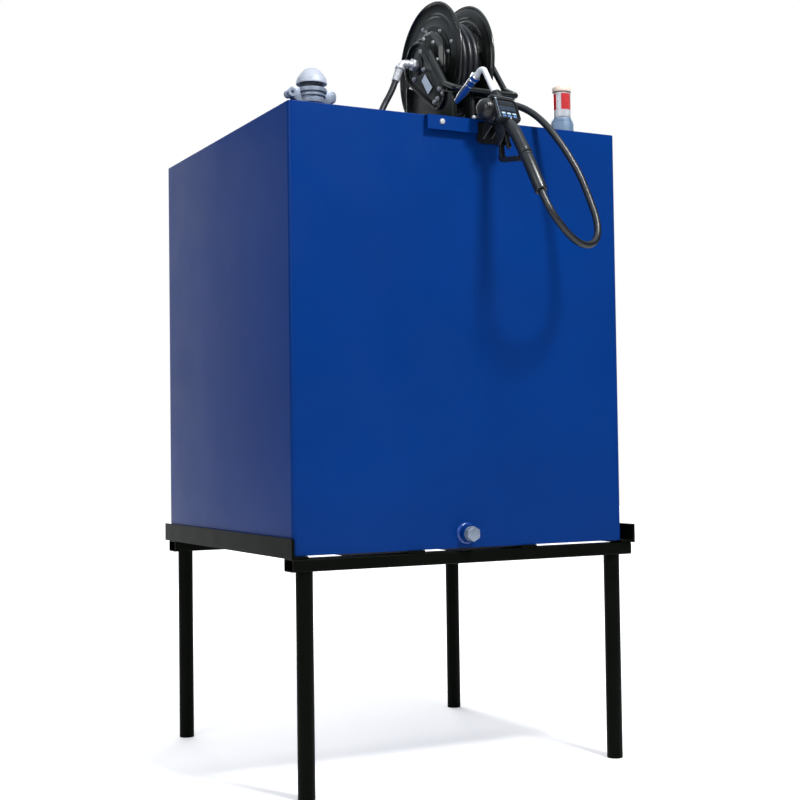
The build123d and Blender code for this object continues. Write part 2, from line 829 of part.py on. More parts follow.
tail_top = supply_points[-1]
tail_dir = Vector(*supply_steps[-1]).normalized()
tail_height = tail_top[2] - tank_top
with BuildPart() as supply_tail:
    with BuildSketch(Plane(tail_top, x_dir=(0, 1, 0), z_dir=tail_dir)):
        Circle(tail_radius)
    extrude(amount=tail_height * 0.62)
    tail_foot_x = tail_top[0] + tail_dir.X * tail_height * 0.62
    with BuildSketch(Plane.XY.offset(tank_top)):
        with Locations((tail_foot_x, tail_top[1])):
            Circle(tail_flange_radius)
    extrude(amount=tail_flange_height)
    with BuildSketch(Plane.XY.offset(tank_top)):
        with Locations((tail_foot_x, tail_top[1])):
            Circle(tail_radius + 2)
    extrude(amount=tail_height * 0.6)
keep("supply_tail", supply_tail.part)

# Roller guide
guide_y = tank_front + guide_from_front
guide_z = reel_z - guide_drop
guide_face = Plane((reel_x, guide_y + guide_depth / 2, guide_z), x_dir=(1, 0, 0), z_dir=(0, -1, 0))
with BuildPart() as guide_frame:
    with BuildSketch(guide_face):
        RectangleRounded(guide_width, guide_height, 8)
        RectangleRounded(guide_width - 2 * guide_sheet, guide_height - 2 * guide_sheet, 3, mode=Mode.SUBTRACT)
    extrude(amount=guide_depth)
keep("guide_frame", guide_frame.part)

roller_high = guide_height - 2 * (guide_sheet + roller_end_gap)
roller_wide = guide_width - 2 * (guide_sheet + roller_end_gap)
with BuildPart() as guide_rollers:
    for side in (-1, 1):
        with BuildSketch(Plane.XY.offset(guide_z - roller_high / 2)):
            with Locations((reel_x + side * (roller_gap_wide + roller_radius), guide_y - roller_layer)):
                Circle(roller_radius)
        extrude(amount=roller_high)
        with BuildSketch(Plane.YZ.offset(reel_x - roller_wide / 2)):
            with Locations((guide_y + roller_layer, guide_z + side * (roller_gap_high + roller_radius))):
                Circle(roller_radius)
        extrude(amount=roller_wide)
keep("guide_rollers", guide_rollers.part)

# A bent tube, from one arm's front edge across the roller guide to the other's
bar_side = arm_inner + arm_sheet + arm_rim / 2
bar_front = guide_y - guide_depth / 2 - guide_bar_radius - fit_gap
bar_z = reel_z - guide_bar_drop
edge_start, edge_end = arm_front_edge(guide_bar_radius + fit_gap)
edge_run = (edge_end[0] - edge_start[0], edge_end[1] - edge_start[1])


def bar_point(side, share):
    y = reel_y + edge_start[0] + edge_run[0] * share
    z = reel_z + edge_start[1] + edge_run[1] * share
    return (reel_x + side * bar_side, y, z)


bar_points = [
    bar_point(-1, guide_bar_start),
    bar_point(-1, guide_bar_end),
    (reel_x - bar_side, bar_front, bar_z),
    (reel_x + bar_side, bar_front, bar_z),
    bar_point(1, guide_bar_end),
    bar_point(1, guide_bar_start),
]
with BuildPart() as guide_bar:
    with BuildLine():
        bar_path = FilletPolyline(*bar_points, radius=guide_bar_bend)
    with BuildSketch(Plane(bar_points[0], z_dir=Vector(*bar_points[1]) - Vector(*bar_points[0]))):
        Circle(guide_bar_radius)
    sweep(path=bar_path)
keep("guide_bar", guide_bar.part)

# Oil gun
tilt = radians(gun_tilt)
turn = radians(gun_turn)
back = Vector(-sin(turn), cos(turn), 0)
gun_along = back * sin(tilt) + Vector(0, 0, cos(tilt))
gun_wide = Vector(cos(turn), sin(turn), 0)
gun_up = gun_wide.cross(gun_along)
gun_origin = Vector(tank_left + gun_from_left, tank_front + gun_from_front, tank_top + gun_from_top)
gun_plane = Plane(gun_origin, x_dir=gun_along, z_dir=gun_wide)


def gun_point(along, up, wide=0):
    return gun_origin + gun_along * along + gun_up * up + gun_wide * wide


def gun_round(along, up, radius):
    with BuildSketch(Plane(gun_point(along, up), x_dir=gun_wide, z_dir=gun_along)) as section:
        Circle(radius)
    return section.sketch


with BuildPart() as gun_grip:
    add(gun_round(-grip_length, 0, grip_radius))
    add(gun_round(*grip_waist, grip_waist_radius))
    add(gun_round(*grip_neck, grip_neck_radius))
    loft(ruled=True)
    with BuildSketch(gun_plane.offset(-trigger_ear)):
        with Locations(trigger_pivot):
            Circle(trigger_eye_radius + 2)
        with Locations((trigger_pivot[0], trigger_pivot[1] / 2)):
            Rectangle(2 * (trigger_eye_radius + 2), -trigger_pivot[1])
    extrude(amount=2 * trigger_ear)
    with BuildSketch(gun_plane):
        with Locations(trigger_pivot):
            Circle(trigger_eye_radius + 4)
    extrude(amount=trigger_half_width + side_running_gap, both=True, mode=Mode.SUBTRACT)
    with BuildSketch(gun_plane):
        with Locations(trigger_pivot):
            Circle(trigger_pin_radius)
    extrude(amount=trigger_ear, both=True)
    with BuildSketch(Plane(gun_point(-grip_length, 0), x_dir=gun_wide, z_dir=-gun_along)):
        Circle(collar_radius)
    extrude(amount=collar_length)
    # the neck ends where the meter's body begins
    with BuildSketch(gun_plane):
        with Locations((meter_along, meter_offset)):
            Circle(meter_radius + fit_gap)
    extrude(amount=meter_left, both=True, mode=Mode.SUBTRACT)
keep("gun_grip", gun_grip.part)

with BuildPart() as trigger_guard:
    with BuildSketch(gun_plane):
        with BuildLine():
            FilletPolyline(*guard_points, radius=guard_bend)
        trace(line_width=guard_wall)
    extrude(amount=guard_half_width, both=True)
    with BuildSketch(gun_plane):
        with Locations((meter_along, meter_offset)):
            Circle(meter_radius + fit_gap)
    extrude(amount=meter_left, both=True, mode=Mode.SUBTRACT)
    add(gun_grip.part, mode=Mode.SUBTRACT)
keep("trigger_guard", trigger_guard.part)

with BuildPart() as gun_trigger:
    with BuildSketch(gun_plane):
        with BuildLine():
            FilletPolyline(*trigger_line, radius=trigger_bend)
        trace(line_width=trigger_thickness)
        with Locations(trigger_pivot):
            Circle(trigger_eye_radius)
            Circle(trigger_pin_radius + pin_running_gap, mode=Mode.SUBTRACT)
    extrude(amount=trigger_half_width, both=True)
keep("gun_trigger", gun_trigger.part)

with BuildPart() as gun_meter:
    with BuildSketch(gun_plane.offset(-meter_left)):
        with Locations((meter_along, meter_offset)):
            Circle(meter_radius)
    extrude(amount=meter_left + meter_right)
    with BuildSketch(Plane(gun_point(meter_along, spout_offset), x_dir=gun_wide, z_dir=gun_along)):
        Circle(outlet_radius)
    extrude(amount=spout_start - meter_along)
keep("gun_meter", gun_meter.part)

with BuildPart() as meter_cover:
    with BuildSketch(gun_plane.offset(-meter_left)):
        with Locations((meter_along, meter_offset)):
            Circle(meter_cover_radius)
    extrude(amount=-meter_cover_depth, taper=4)
keep("meter_cover", meter_cover.part)

with BuildPart() as display_housing:
    with BuildSketch(gun_plane.offset(-display_half_width)):
        with BuildLine():
            Polyline(
                (display_foot[0], display_back),
                display_foot,
                display_head,
                display_hood,
                (display_hood[0], display_back),
                close=True,
            )
        make_face()
    extrude(amount=2 * display_half_width)
    with BuildSketch(gun_plane):
        with Locations((meter_along, meter_offset)):
            Circle(meter_radius + fit_gap)
    extrude(amount=meter_left + meter_cover_depth, both=True, mode=Mode.SUBTRACT)
    with BuildSketch(Plane(gun_point(meter_along, spout_offset), x_dir=gun_wide, z_dir=gun_along)):
        Circle(outlet_radius + fit_gap)
    extrude(amount=spout_start - meter_along, mode=Mode.SUBTRACT)
    add(gun_grip.part, mode=Mode.SUBTRACT)
keep("display_housing", display_housing.part)

with BuildPart() as gun_spout:
    with BuildLine(gun_plane):
        spout_path = FilletPolyline(
            (spout_start, spout_offset),
            (spout_corner, spout_offset),
            (spout_corner, spout_offset - spout_reach),
            radius=spout_bend_radius,
        )
    with BuildSketch(Plane(gun_point(spout_start, spout_offset), x_dir=gun_wide, z_dir=gun_along)):
        Circle(spout_radius)
    sweep(path=spout_path)
keep("gun_spout", gun_spout.part)

nozzle_plane = Plane(gun_point(spout_corner, spout_offset - spout_reach), x_dir=gun_wide, z_dir=-gun_up)
with BuildPart() as nozzle_nut:
    with BuildSketch(nozzle_plane):
        RegularPolygon(nut_radius, 6, major_radius=False)
    extrude(amount=nut_length)
keep("nozzle_nut", nozzle_nut.part)

with BuildPart() as gun_nozzle:
    with BuildSketch(nozzle_plane.offset(nut_length)):
        Circle(nozzle_radius)
    extrude(amount=nozzle_straight)
    with BuildSketch(nozzle_plane.offset(nut_length + nozzle_straight)):
        Circle(nozzle_radius)
    with BuildSketch(nozzle_plane.offset(nut_length + nozzle_length)):
        Circle(nozzle_tip_radius)
    loft()
keep("gun_nozzle", gun_nozzle.part)

# Stiff sleeve between the grip's collar and the hose
collar_foot = Plane(gun_point(-grip_length - collar_length, 0), x_dir=gun_wide, z_dir=-gun_along)
sleeve_dir = back * -sin(sleeve_tilt) + Vector(0, 0, -cos(sleeve_tilt))
with BuildPart() as hose_sleeve:
    with BuildSketch(Plane(collar_foot.origin - sleeve_dir * sleeve_radius, x_dir=gun_wide, z_dir=sleeve_dir)):
        Circle(sleeve_radius)
    extrude(amount=sleeve_radius + sleeve_length)
    split(bisect_by=collar_foot, keep=Keep.TOP)
keep("hose_sleeve", hose_sleeve.part)

sleeve_end = collar_foot.origin + sleeve_dir * sleeve_length
hose_lead = sleeve_end + sleeve_dir * hose_lead_length
tank_point = [
    (669, -262, 878),
    (715, -250, 843),
    (768, -232, 824),
    (815, -216, 833),
    (843, -199, 862),
    (852, -181, 910),
    (845, -160, 966),
    (832, -133, 1041),
    (810, -98, 1114),
    (788, -62, 1174),
    (772, -27, 1216),
    (757, 14, 1250),
    (741, 66, 1276),
    (725, 120, 1290),
    (711, 172, 1297),
    (705, 226, 1301),
]
hose_points = [
    (sleeve_end.X, sleeve_end.Y, sleeve_end.Z),
    (hose_lead.X, hose_lead.Y, hose_lead.Z),
]
for x, y, z in tank_point:
    hose_points.append((tank_left + x, tank_front + y, tank_base + z))
pack_touch = reel_z - hose_pack_radius - hose_diameter / 2 - fit_gap
for behind_front, drop in hose_under_drum:
    hose_points.append((reel_x, reel_y + behind_front, pack_touch - drop))
delivery_hose = hose_tube(hose_points, hose_diameter / 2)
keep("delivery_hose", delivery_hose.part)

# Gun holder: a plate on the front wall with a saddle under the meter
drum_centre = gun_point(meter_along, meter_offset)
saddle_plane = Plane(drum_centre, x_dir=back, z_dir=gun_wide)
saddle_inner = meter_radius + fit_gap
saddle_outer = saddle_inner + saddle_wall
web_high = radians(saddle_end - saddle_web_inset)
web_low = radians(saddle_start + saddle_web_inset)
wall_run = (tank_front - drum_centre.Y) / cos(turn) + 2 * saddle_half_width * tan(turn)
plate_top = tank_top - bracket_below_top - bracket_sheet - fit_gap
plate_foot = plate_top - holder_height - drum_centre.Z
with BuildPart() as gun_holder:
    with BuildSketch(Plane.XZ.offset(-tank_front)):
        with Locations((drum_centre.X, plate_top - holder_height / 2)):
            RectangleRounded(holder_width, holder_height, 8)
    extrude(amount=holder_sheet)
    with BuildSketch(saddle_plane):
        with BuildLine():
            CenterArc((0, 0), saddle_inner + saddle_wall / 2, saddle_start, saddle_end - saddle_start)
        trace(line_width=saddle_wall)
    extrude(amount=saddle_half_width, both=True)
    for cheek in (-1, 1):
        with BuildSketch(saddle_plane.offset(cheek * (saddle_half_width - saddle_web / 2))):
            with BuildLine():
                Polyline(
                    (saddle_outer * cos(web_high), saddle_outer * sin(web_high)),
                    (saddle_outer, plate_top - drum_centre.Z),
                    (wall_run, plate_top - drum_centre.Z),
                    (wall_run, plate_foot + saddle_web),
                    (saddle_outer * cos(web_low), saddle_outer * sin(web_low)),
                    close=True,
                )
            make_face()
            Circle(saddle_inner + saddle_wall / 2, mode=Mode.SUBTRACT)
        extrude(amount=saddle_web / 2, both=True)
    split(bisect_by=Plane.XZ.offset(-tank_front), keep=Keep.TOP)
keep("gun_holder", gun_holder.part)

os.makedirs("parts", exist_ok=True)
for name, part in pieces.items():
    export_step(part, "parts/" + name + ".step")
print(len(pieces), "pieces written")
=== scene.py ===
import json
from math import acos, atan2, cos, degrees, hypot, pi, radians, sin, tan, tau
import bmesh
import bpy
from mathutils import Matrix, Vector


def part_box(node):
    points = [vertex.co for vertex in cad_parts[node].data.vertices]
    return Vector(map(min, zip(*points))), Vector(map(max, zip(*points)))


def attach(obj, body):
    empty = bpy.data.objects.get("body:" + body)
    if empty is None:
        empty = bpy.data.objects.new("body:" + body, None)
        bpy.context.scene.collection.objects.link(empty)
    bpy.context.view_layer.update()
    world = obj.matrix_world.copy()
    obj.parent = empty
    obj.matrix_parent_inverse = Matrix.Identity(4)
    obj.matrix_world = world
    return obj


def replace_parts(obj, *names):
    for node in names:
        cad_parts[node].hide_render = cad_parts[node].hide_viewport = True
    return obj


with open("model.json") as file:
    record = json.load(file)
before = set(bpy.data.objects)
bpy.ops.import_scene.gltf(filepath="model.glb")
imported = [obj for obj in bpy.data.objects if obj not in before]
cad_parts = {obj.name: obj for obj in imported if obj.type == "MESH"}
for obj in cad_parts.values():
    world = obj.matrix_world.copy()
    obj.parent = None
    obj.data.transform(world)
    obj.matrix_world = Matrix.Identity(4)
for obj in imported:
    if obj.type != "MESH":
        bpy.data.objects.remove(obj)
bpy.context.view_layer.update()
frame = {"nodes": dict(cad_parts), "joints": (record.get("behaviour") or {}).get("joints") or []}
MM = 0.001
node = frame["nodes"]
TANK, DRUM = "tank_and_stand", "hose_drum"
LEFT_LEVER, RIGHT_LEVER, TRIGGER = "left_lever", "right_lever", "trigger"

# Places that the rest is worked out from
front_wall_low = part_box("tank_front_wall")[0]
lid_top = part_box("tank_lid")[1][2]
tank_corner = Vector((front_wall_low[0], front_wall_low[1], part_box("tank_floor")[0][2]))
joint_at = {joint["name"]: Vector(joint["pos_m"]) for joint in frame["joints"]}
reel_at = joint_at["drum_spin"]


def on_lid(name):
    """The point of the lid's top under the middle of a node."""
    low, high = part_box(name)
    return Vector(((low[0] + high[0]) / 2, (low[1] + high[1]) / 2, lid_top))


fill_at, gauge_at = on_lid("vent_dome"), on_lid("gauge_tube")


def on_tank(x, y, z):
    """A point given in millimetres from the tank's front left bottom corner."""
    return tank_corner + Vector((x, y, z)) * MM


def frame_at(origin, along, up):
    """Millimetres with x along, y up and z across, turned into metres at their place."""
    x = Vector(along).normalized()
    z = x.cross(Vector(up)).normalized()
    turned_to = Matrix((x, z.cross(x), z)).transposed().to_4x4()
    return Matrix.Translation(origin) @ turned_to @ Matrix.Scale(MM, 4)


FRONT, BACK, RIGHT, UP = (0, -1, 0), (0, 1, 0), (1, 0, 0), (0, 0, 1)
REEL_LEFT = frame_at(reel_at, FRONT, UP)
REEL_RIGHT = frame_at(reel_at, BACK, UP)

# The oil gun hangs turned and tilted; its sleeve starts where its collar ends
GUN_TILT, GUN_TURN, SLEEVE_LEAN = radians(30.8), radians(8), radians(1.8)
gun_back = Vector((-sin(GUN_TURN), cos(GUN_TURN), 0))
gun_wide = Vector((cos(GUN_TURN), sin(GUN_TURN), 0))
gun_along = gun_back * sin(GUN_TILT) + Vector((0, 0, cos(GUN_TILT)))
gun_up = gun_wide.cross(gun_along)
COLLAR_END, SLEEVE_LENGTH = 131, 127
gun_at = on_tank(620, -102, 1188.4)
GUN = frame_at(gun_at, gun_along, gun_up)
sleeve_dir = -gun_back * sin(GUN_TILT - SLEEVE_LEAN) - Vector((0, 0, cos(GUN_TILT - SLEEVE_LEAN)))
collar_foot = gun_at - gun_along * COLLAR_END * MM
sleeve_end = collar_foot + sleeve_dir * SLEEVE_LENGTH * MM

# Camera: the photograph's place and turn, found by fitting the tank's and stand's edges
CAMERA_AT = on_tank(-1454, -3396, 274)
CAMERA_LENS, CAMERA_SENSOR = 63.5, 36.0
TURNED_LEFT, RAISED, ROLLED = radians(-27.574), radians(92.0185), radians(-0.778)


def make_camera():
    data = bpy.data.cameras.new("camera")
    data.sensor_width = CAMERA_SENSOR
    data.lens = CAMERA_LENS
    data.dof.use_dof = False
    camera = bpy.data.objects.new("camera", data)
    looking = Matrix.Rotation(TURNED_LEFT, 4, "Z") @ Matrix.Rotation(RAISED, 4, "X")
    looking = looking @ Matrix.Rotation(ROLLED, 4, "Z")
    camera.matrix_world = Matrix.Translation(CAMERA_AT) @ looking
    bpy.context.scene.collection.objects.link(camera)
    bpy.context.scene.camera = camera


make_camera()


# Finishes
def srgb(r, g, b):
    """A colour as it looks, 0 to 255, turned into the linear one that the shader wants."""
    linear = [(c / 255 / 12.92) if c <= 10 else ((c / 255 + 0.055) / 1.055) ** 2.4 for c in (r, g, b)]
    return (*linear, 1.0)


# Where nearly all of a noise's values lie
NOISE_LOW, NOISE_HIGH = 0.3, 0.7


class Finish:
    """A material with one Principled shader and what it reads."""

    def __init__(self, name):
        self.material = bpy.data.materials.new(name)
        self.material.use_nodes = True
        self.nodes = self.material.node_tree.nodes
        self.links = self.material.node_tree.links
        self.shader = self.nodes["Principled BSDF"]
        self.place = self.nodes.new("ShaderNodeTexCoord").outputs["Object"]

    def set(self, **values):
        for socket, value in values.items():
            self.shader.inputs[socket.replace("_", " ")].default_value = value
        return self

    def centred(self, at):
        """Object coordinates with their origin moved to a place."""
        mapping = self.nodes.new("ShaderNodeMapping")
        mapping.vector_type = "TEXTURE"
        mapping.inputs["Location"].default_value = at
        self.links.new(self.place, mapping.inputs["Vector"])
        return mapping.outputs["Vector"]

    def noise(self, scale, detail=3.0):
        grain = self.nodes.new("ShaderNodeTexNoise")
        grain.inputs["Scale"].default_value = scale
        grain.inputs["Detail"].default_value = detail
        grain.inputs["Roughness"].default_value = 0.55
        self.links.new(self.place, grain.inputs["Vector"])
        return grain.outputs["Fac"]

    def ramp(self, value, low, high, to_low=0.0, to_high=1.0):
        """The value's range from low to high, spread over a new range."""
        spread = self.nodes.new("ShaderNodeMapRange")
        for socket, number in zip(spread.inputs[1:5], (low, high, to_low, to_high)):
            socket.default_value = number
        self.links.new(value, spread.inputs[0])
        return spread.outputs[0]

    def sum(self, kind, a, b=None):
        """One step of arithmetic on numbers or on the outputs of other nodes."""
        step = self.nodes.new("ShaderNodeMath")
        step.operation = kind
        for socket, value in zip(step.inputs, (a, b)):
            if isinstance(value, (int, float)):
                socket.default_value = value
            elif value is not None:
                self.links.new(value, socket)
        return step.outputs[0]

    def blend(self, amount, colour_a, colour_b):
        mix = self.nodes.new("ShaderNodeMix")
        mix.data_type = "RGBA"
        self.links.new(amount, mix.inputs["Factor"])
        mix.inputs[6].default_value = colour_a
        mix.inputs[7].default_value = colour_b
        return mix.outputs[2]

    def colour(self, value):
        self.links.new(value, self.shader.inputs["Base Color"])

    def rough(self, value):
        self.links.new(value, self.shader.inputs["Roughness"])

    def bump(self, height, depth):
        bump = self.nodes.new("ShaderNodeBump")
        bump.inputs["Distance"].default_value = depth
        bump.inputs["Strength"].default_value = 1.0
        self.links.new(height, bump.inputs["Height"])
        self.links.new(bump.outputs["Normal"], self.shader.inputs["Normal"])


def grained(name, dark, light, patches, rough, grain, depth, gloss=0.5, metal=0.0):
    """A finish whose colour and gloss drift in patches and whose skin has a fine grain."""
    f = Finish(name).set(Specular_IOR_Level=gloss, Metallic=metal)
    f.colour(f.blend(f.ramp(f.noise(patches, 4), NOISE_LOW, NOISE_HIGH), srgb(*dark), srgb(*light)))
    f.rough(f.ramp(f.noise(patches * 2.3, 5), NOISE_LOW, NOISE_HIGH, *rough))
    f.bump(f.noise(grain, 2), depth)
    return f.material


# Each with its two colours, patches per metre, roughness, grains per metre and their depth in metres
tank_paint = grained("tank_paint", (0, 43, 107), (0, 47, 115), 2.2, (0.3, 0.4), 420, 0.00006, gloss=0.1)
# The weld paint is glossier than the tank paint, which is real; its lighter blue patches are a painted
# highlight on the weld bead
weld_paint_and_highlight = grained("weld_paint_and_highlight", (0, 46, 118), (3, 62, 146), 260, (0.12, 0.3), 300, 0.0006, gloss=0.7)
stand_paint = grained("stand_paint", (2, 5, 1), (6, 9, 4), 9, (0.4, 0.46), 900, 0.00004, gloss=0.06)
reel_paint = grained("reel_paint", (14, 17, 17), (21, 25, 25), 7, (0.18, 0.28), 500, 0.00001, gloss=0.6)
hose_rubber = grained("hose_rubber", (19, 22, 26), (29, 33, 38), 30, (0.3, 0.46), 1800, 0.00005)
black_plastic = grained("black_plastic", (20, 22, 24), (27, 30, 33), 25, (0.26, 0.4), 2600, 0.00003)
matt_plastic = grained("matt_plastic", (17, 19, 22), (24, 27, 31), 25, (0.5, 0.62), 2600, 0.00003, gloss=0.3)
grip_rubber = grained("grip_rubber", (20, 24, 28), (28, 33, 38), 25, (0.3, 0.38), 1200, 0.00001)
grey_plastic = grained("grey_plastic", (100, 124, 150), (114, 137, 161), 30, (0.4, 0.55), 1800, 0.00003)
cap_plastic = grained("cap_plastic", (206, 192, 178), (224, 212, 200), 40, (0.4, 0.55), 1500, 0.00003)
seal_brown = grained("seal_brown", (96, 66, 54), (120, 88, 74), 60, (0.5, 0.6), 900, 0.00002)
zinc = grained("zinc", (186, 190, 196), (214, 216, 218), 90, (0.3, 0.45), 1400, 0.00001, metal=0.55)
spout_white = grained("spout_white", (206, 210, 216), (222, 225, 229), 40, (0.3, 0.4), 900, 0.00001)
chrome = grained("chrome", (214, 218, 224), (232, 235, 238), 40, (0.08, 0.18), 900, 0.00001, metal=1.0)
cast_aluminium = grained(
    "cast_aluminium", (112, 124, 142), (142, 152, 168), 60, (0.38, 0.5), 1100, 0.00005, metal=0.35
)
dome_grey = grained(
    "dome_grey", (160, 168, 182), (178, 184, 196), 40, (0.48, 0.58), 1100, 0.00003, metal=0.12
)
blank_label = grained("blank_label", (188, 204, 222), (206, 216, 228), 60, (0.3, 0.4), 900, 0.00001)
gauge_red = grained("gauge_red", (206, 22, 28), (222, 34, 36), 60, (0.3, 0.42), 900, 0.00001)
gauge_white = grained("gauge_white", (214, 216, 220), (232, 232, 234), 60, (0.32, 0.45), 900, 0.00001)
button_white = grained("button_white", (150, 178, 206), (168, 192, 216), 80, (0.5, 0.6), 900, 0.00002)
button_blue = grained("button_blue", (66, 112, 162), (80, 128, 178), 80, (0.5, 0.6), 900, 0.00002)
screen_glass = grained("screen_glass", (30, 42, 56), (42, 56, 72), 40, (0.5, 0.6), 900, 0.000004, gloss=0.2)

# The strainer's mesh: wires round it, and radians per metre up it
WIRES_ROUND, WIRES_UP = 60, 2300


def woven(name):
    """Light crossing wires with painted shade between them, where the shaded inside shows through the mesh,
    seen round an upright axis.
    """
    f = Finish(name).set(Metallic=0.7)
    split = f.nodes.new("ShaderNodeSeparateXYZ")
    f.links.new(f.centred(fill_at), split.inputs[0])
    way = f.sum("ARCTAN2", split.outputs[1], split.outputs[0])
    around = f.sum("SINE", f.sum("MULTIPLY", way, WIRES_ROUND))
    upward = f.sum("SINE", f.sum("MULTIPLY", split.outputs[2], WIRES_UP))
    wires = f.ramp(f.sum("MAXIMUM", around, upward), 0.2, 0.9)
    # Painted shade: the dark colour lies between the wires, and the grey lies on them
    f.colour(f.blend(wires, srgb(22, 26, 31), srgb(112, 122, 132)))
    f.rough(f.ramp(f.noise(200), NOISE_LOW, NOISE_HIGH, 0.4, 0.6))
    f.bump(wires, 0.0004)
    return f.material


def see_through(name):
    """A clear skin that hardly bends the light, because the piece is a thin film."""
    f = Finish(name).set(Transmission_Weight=1.0, IOR=1.12, Roughness=0.04)
    f.colour(f.blend(f.noise(60), srgb(236, 240, 243), srgb(246, 248, 250)))
    return f.material


strainer_mesh = woven("strainer_mesh")
clear_tube = see_through("clear_tube")


# Shapes
def moved(shape, matrix):
    bmesh.ops.transform(shape, matrix=matrix, verts=shape.verts)
    return shape


def add_shape(shape, other):
    """Copies one shape's faces into another."""
    held = bpy.data.meshes.new("held")
    other.to_mesh(held)
    other.free()
    shape.from_mesh(held)
    bpy.data.meshes.remove(held)


def piece(name, shape, place, body, finish, smooth=35):
    """A shape made in millimetres becomes a piece at its place, riding on its body."""
    moved(shape, place)
    bmesh.ops.recalc_face_normals(shape, faces=shape.faces)
    mesh = bpy.data.meshes.new(name)
    shape.to_mesh(mesh)
    shape.free()
    mesh.shade_smooth()
    mesh.set_sharp_from_angle(angle=radians(smooth))
    made = bpy.data.objects.new(name, mesh)
    bpy.context.scene.collection.objects.link(made)
    mesh.materials.append(finish)
    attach(made, body)
    return made


def soften(shape, width, segments=2, sharper=25, only=None):
    """Rounds the edges that turn more than some degrees."""
    edges = [e for e in shape.edges if e.is_manifold and e.calc_face_angle(0) > radians(sharper)]
    if only:
        edges = [e for e in edges if only(e)]
    bmesh.ops.bevel(
        shape,
        geom=edges,
        offset=width,
        offset_type="OFFSET",
        affect="EDGES",
        segments=segments,
        profile=0.5,
        material=-1,
        clamp_overlap=True,
    )
    return shape


def turned(profile, steps, shape=None):
    """A closed profile of (radius, height) spun about the z axis."""
    shape = shape or bmesh.new()
    verts = [shape.verts.new((r, 0, h)) for r, h in profile]
    edges = [shape.edges.new(pair) for pair in zip(verts, verts[1:])]
    edges.append(shape.edges.new((verts[-1], verts[0])))
    bmesh.ops.spin(
        shape, geom=verts + edges, cent=(0, 0, 0), axis=(0, 0, 1), angle=tau, steps=steps, use_merge=True
    )
    bmesh.ops.remove_doubles(shape, verts=shape.verts, dist=0.005)
    return shape


def plate(corners, thickness, base=0.0, shape=None):
    """A flat outline given a thickness upwards from its base."""
    shape = shape or bmesh.new()
    face = shape.faces.new([shape.verts.new((x, y, base)) for x, y in corners])
    grown = bmesh.ops.extrude_face_region(shape, geom=[face])
    risen = [v for v in grown["geom"] if isinstance(v, bmesh.types.BMVert)]
    bmesh.ops.translate(shape, verts=risen, vec=(0, 0, thickness))
    return shape


def rod(start, end, radius, radius_end=None, steps=32, shape=None):
    """A round bar between two points, which may taper."""
    shape = shape or bmesh.new()
    run = Vector(end) - Vector(start)
    turn = run.to_track_quat("Z", "Y").to_matrix().to_4x4()
    middle = (Vector(start) + Vector(end)) / 2
    bmesh.ops.create_cone(
        shape,
        cap_ends=True,
        segments=steps,
        radius1=radius,
        radius2=radius if radius_end is None else radius_end,
        depth=run.length,
        matrix=Matrix.Translation(middle) @ turn,
    )
    return shape


WASHER_TOP, CROWN_TOP = 1.4, 1.9


def bolts(places, across, head, washer=None):
    """Hexagon bolts on washers, each standing up from its place."""
    shape = bmesh.new()
    washer = washer or across * 0.72
    for x, y, z in places:
        seat = (x, y, z + WASHER_TOP)
        top = (x, y, z + WASHER_TOP + head)
        crown = (x, y, z + CROWN_TOP + head)
        rod((x, y, z - 0.5), seat, washer, steps=28, shape=shape)
        rod(seat, top, across * 0.577, across * 0.56, steps=6, shape=shape)
        rod(top, crown, across * 0.46, across * 0.4, steps=24, shape=shape)
    return soften(shape, 0.4, 1, 40)


def arc(centre, radius, start, end, steps):
    """Points along an arc, its ends in degrees."""
    turns = [radians(start + (end - start) * i / steps) for i in range(steps + 1)]
    return [(centre[0] + radius * cos(a), centre[1] + radius * sin(a)) for a in turns]


def circle_of(radius, start, end, steps, height):
    """Places round the z axis at one height, for a ring of bolts."""
    return [(*spot, height) for spot in arc((0, 0), radius, start, end, steps)]


def rounded_box(low, high, radii, steps=5):
    """A rectangle's outline; corners from the lower left one round."""
    radii = radii if isinstance(radii, tuple) else (radii,) * 4
    (x0, y0), (x1, y1) = low, high
    corners = ((x0, y0, 1, 1), (x1, y0, -1, 1), (x1, y1, -1, -1), (x0, y1, 1, -1))
    line = []
    for (x, y, inward, upward), r, start in zip(corners, radii, (180, 270, 0, 90)):
        line += arc((x + inward * r, y + upward * r), r, start, start + 90, steps)
    return line


def two_rounds(radius, other, other_radius, steps=22):
    """The outline drawn tight around a round at the origin and another round."""
    way = degrees(atan2(other[1], other[0]))
    lean = degrees(acos((radius - other_radius) / hypot(*other)))
    line = arc((0, 0), radius, way + lean, way - lean + 360, steps)
    return line + arc(other, other_radius, way - lean, way + lean, steps)


def join_loops(shape, loops):
    """Faces between each loop of points and the next one."""
    for one, two in zip(loops, loops[1:]):
        for i in range(len(one)):
            j = (i + 1) % len(one)
            shape.faces.new((one[i], one[j], two[j], two[i]))


def band(outer, inner, low, high, shape=None):
    """A flat ring between two outlines with as many points each."""
    shape = shape or bmesh.new()
    loops = []
    for line, z in ((outer, low), (outer, high), (inner, high), (inner, low)):
        loops.append([shape.verts.new((x, y, z)) for x, y in line])
    join_loops(shape, loops + loops[:1])
    return shape


def bent(points, radius, steps=8):
    """A line of points whose inner corners are turned into arcs."""
    line = [Vector((*p, 0)[:3]) for p in points]
    made = [line[0]]
    for before, corner, after in zip(line, line[1:], line[2:]):
        back_way, on_way = before - corner, after - corner
        half = back_way.angle(on_way) / 2
        reach = min(radius / tan(half), 0.49 * min(back_way.length, on_way.length))
        middle = corner + (back_way.normalized() + on_way.normalized()).normalized() * reach / cos(half)
        start = corner + back_way.normalized() * reach - middle
        end = corner + on_way.normalized() * reach - middle
        for i in range(steps + 1):
            made.append(middle + start.normalized().slerp(end.normalized(), i / steps) * start.length)
    return made + [line[-1]]


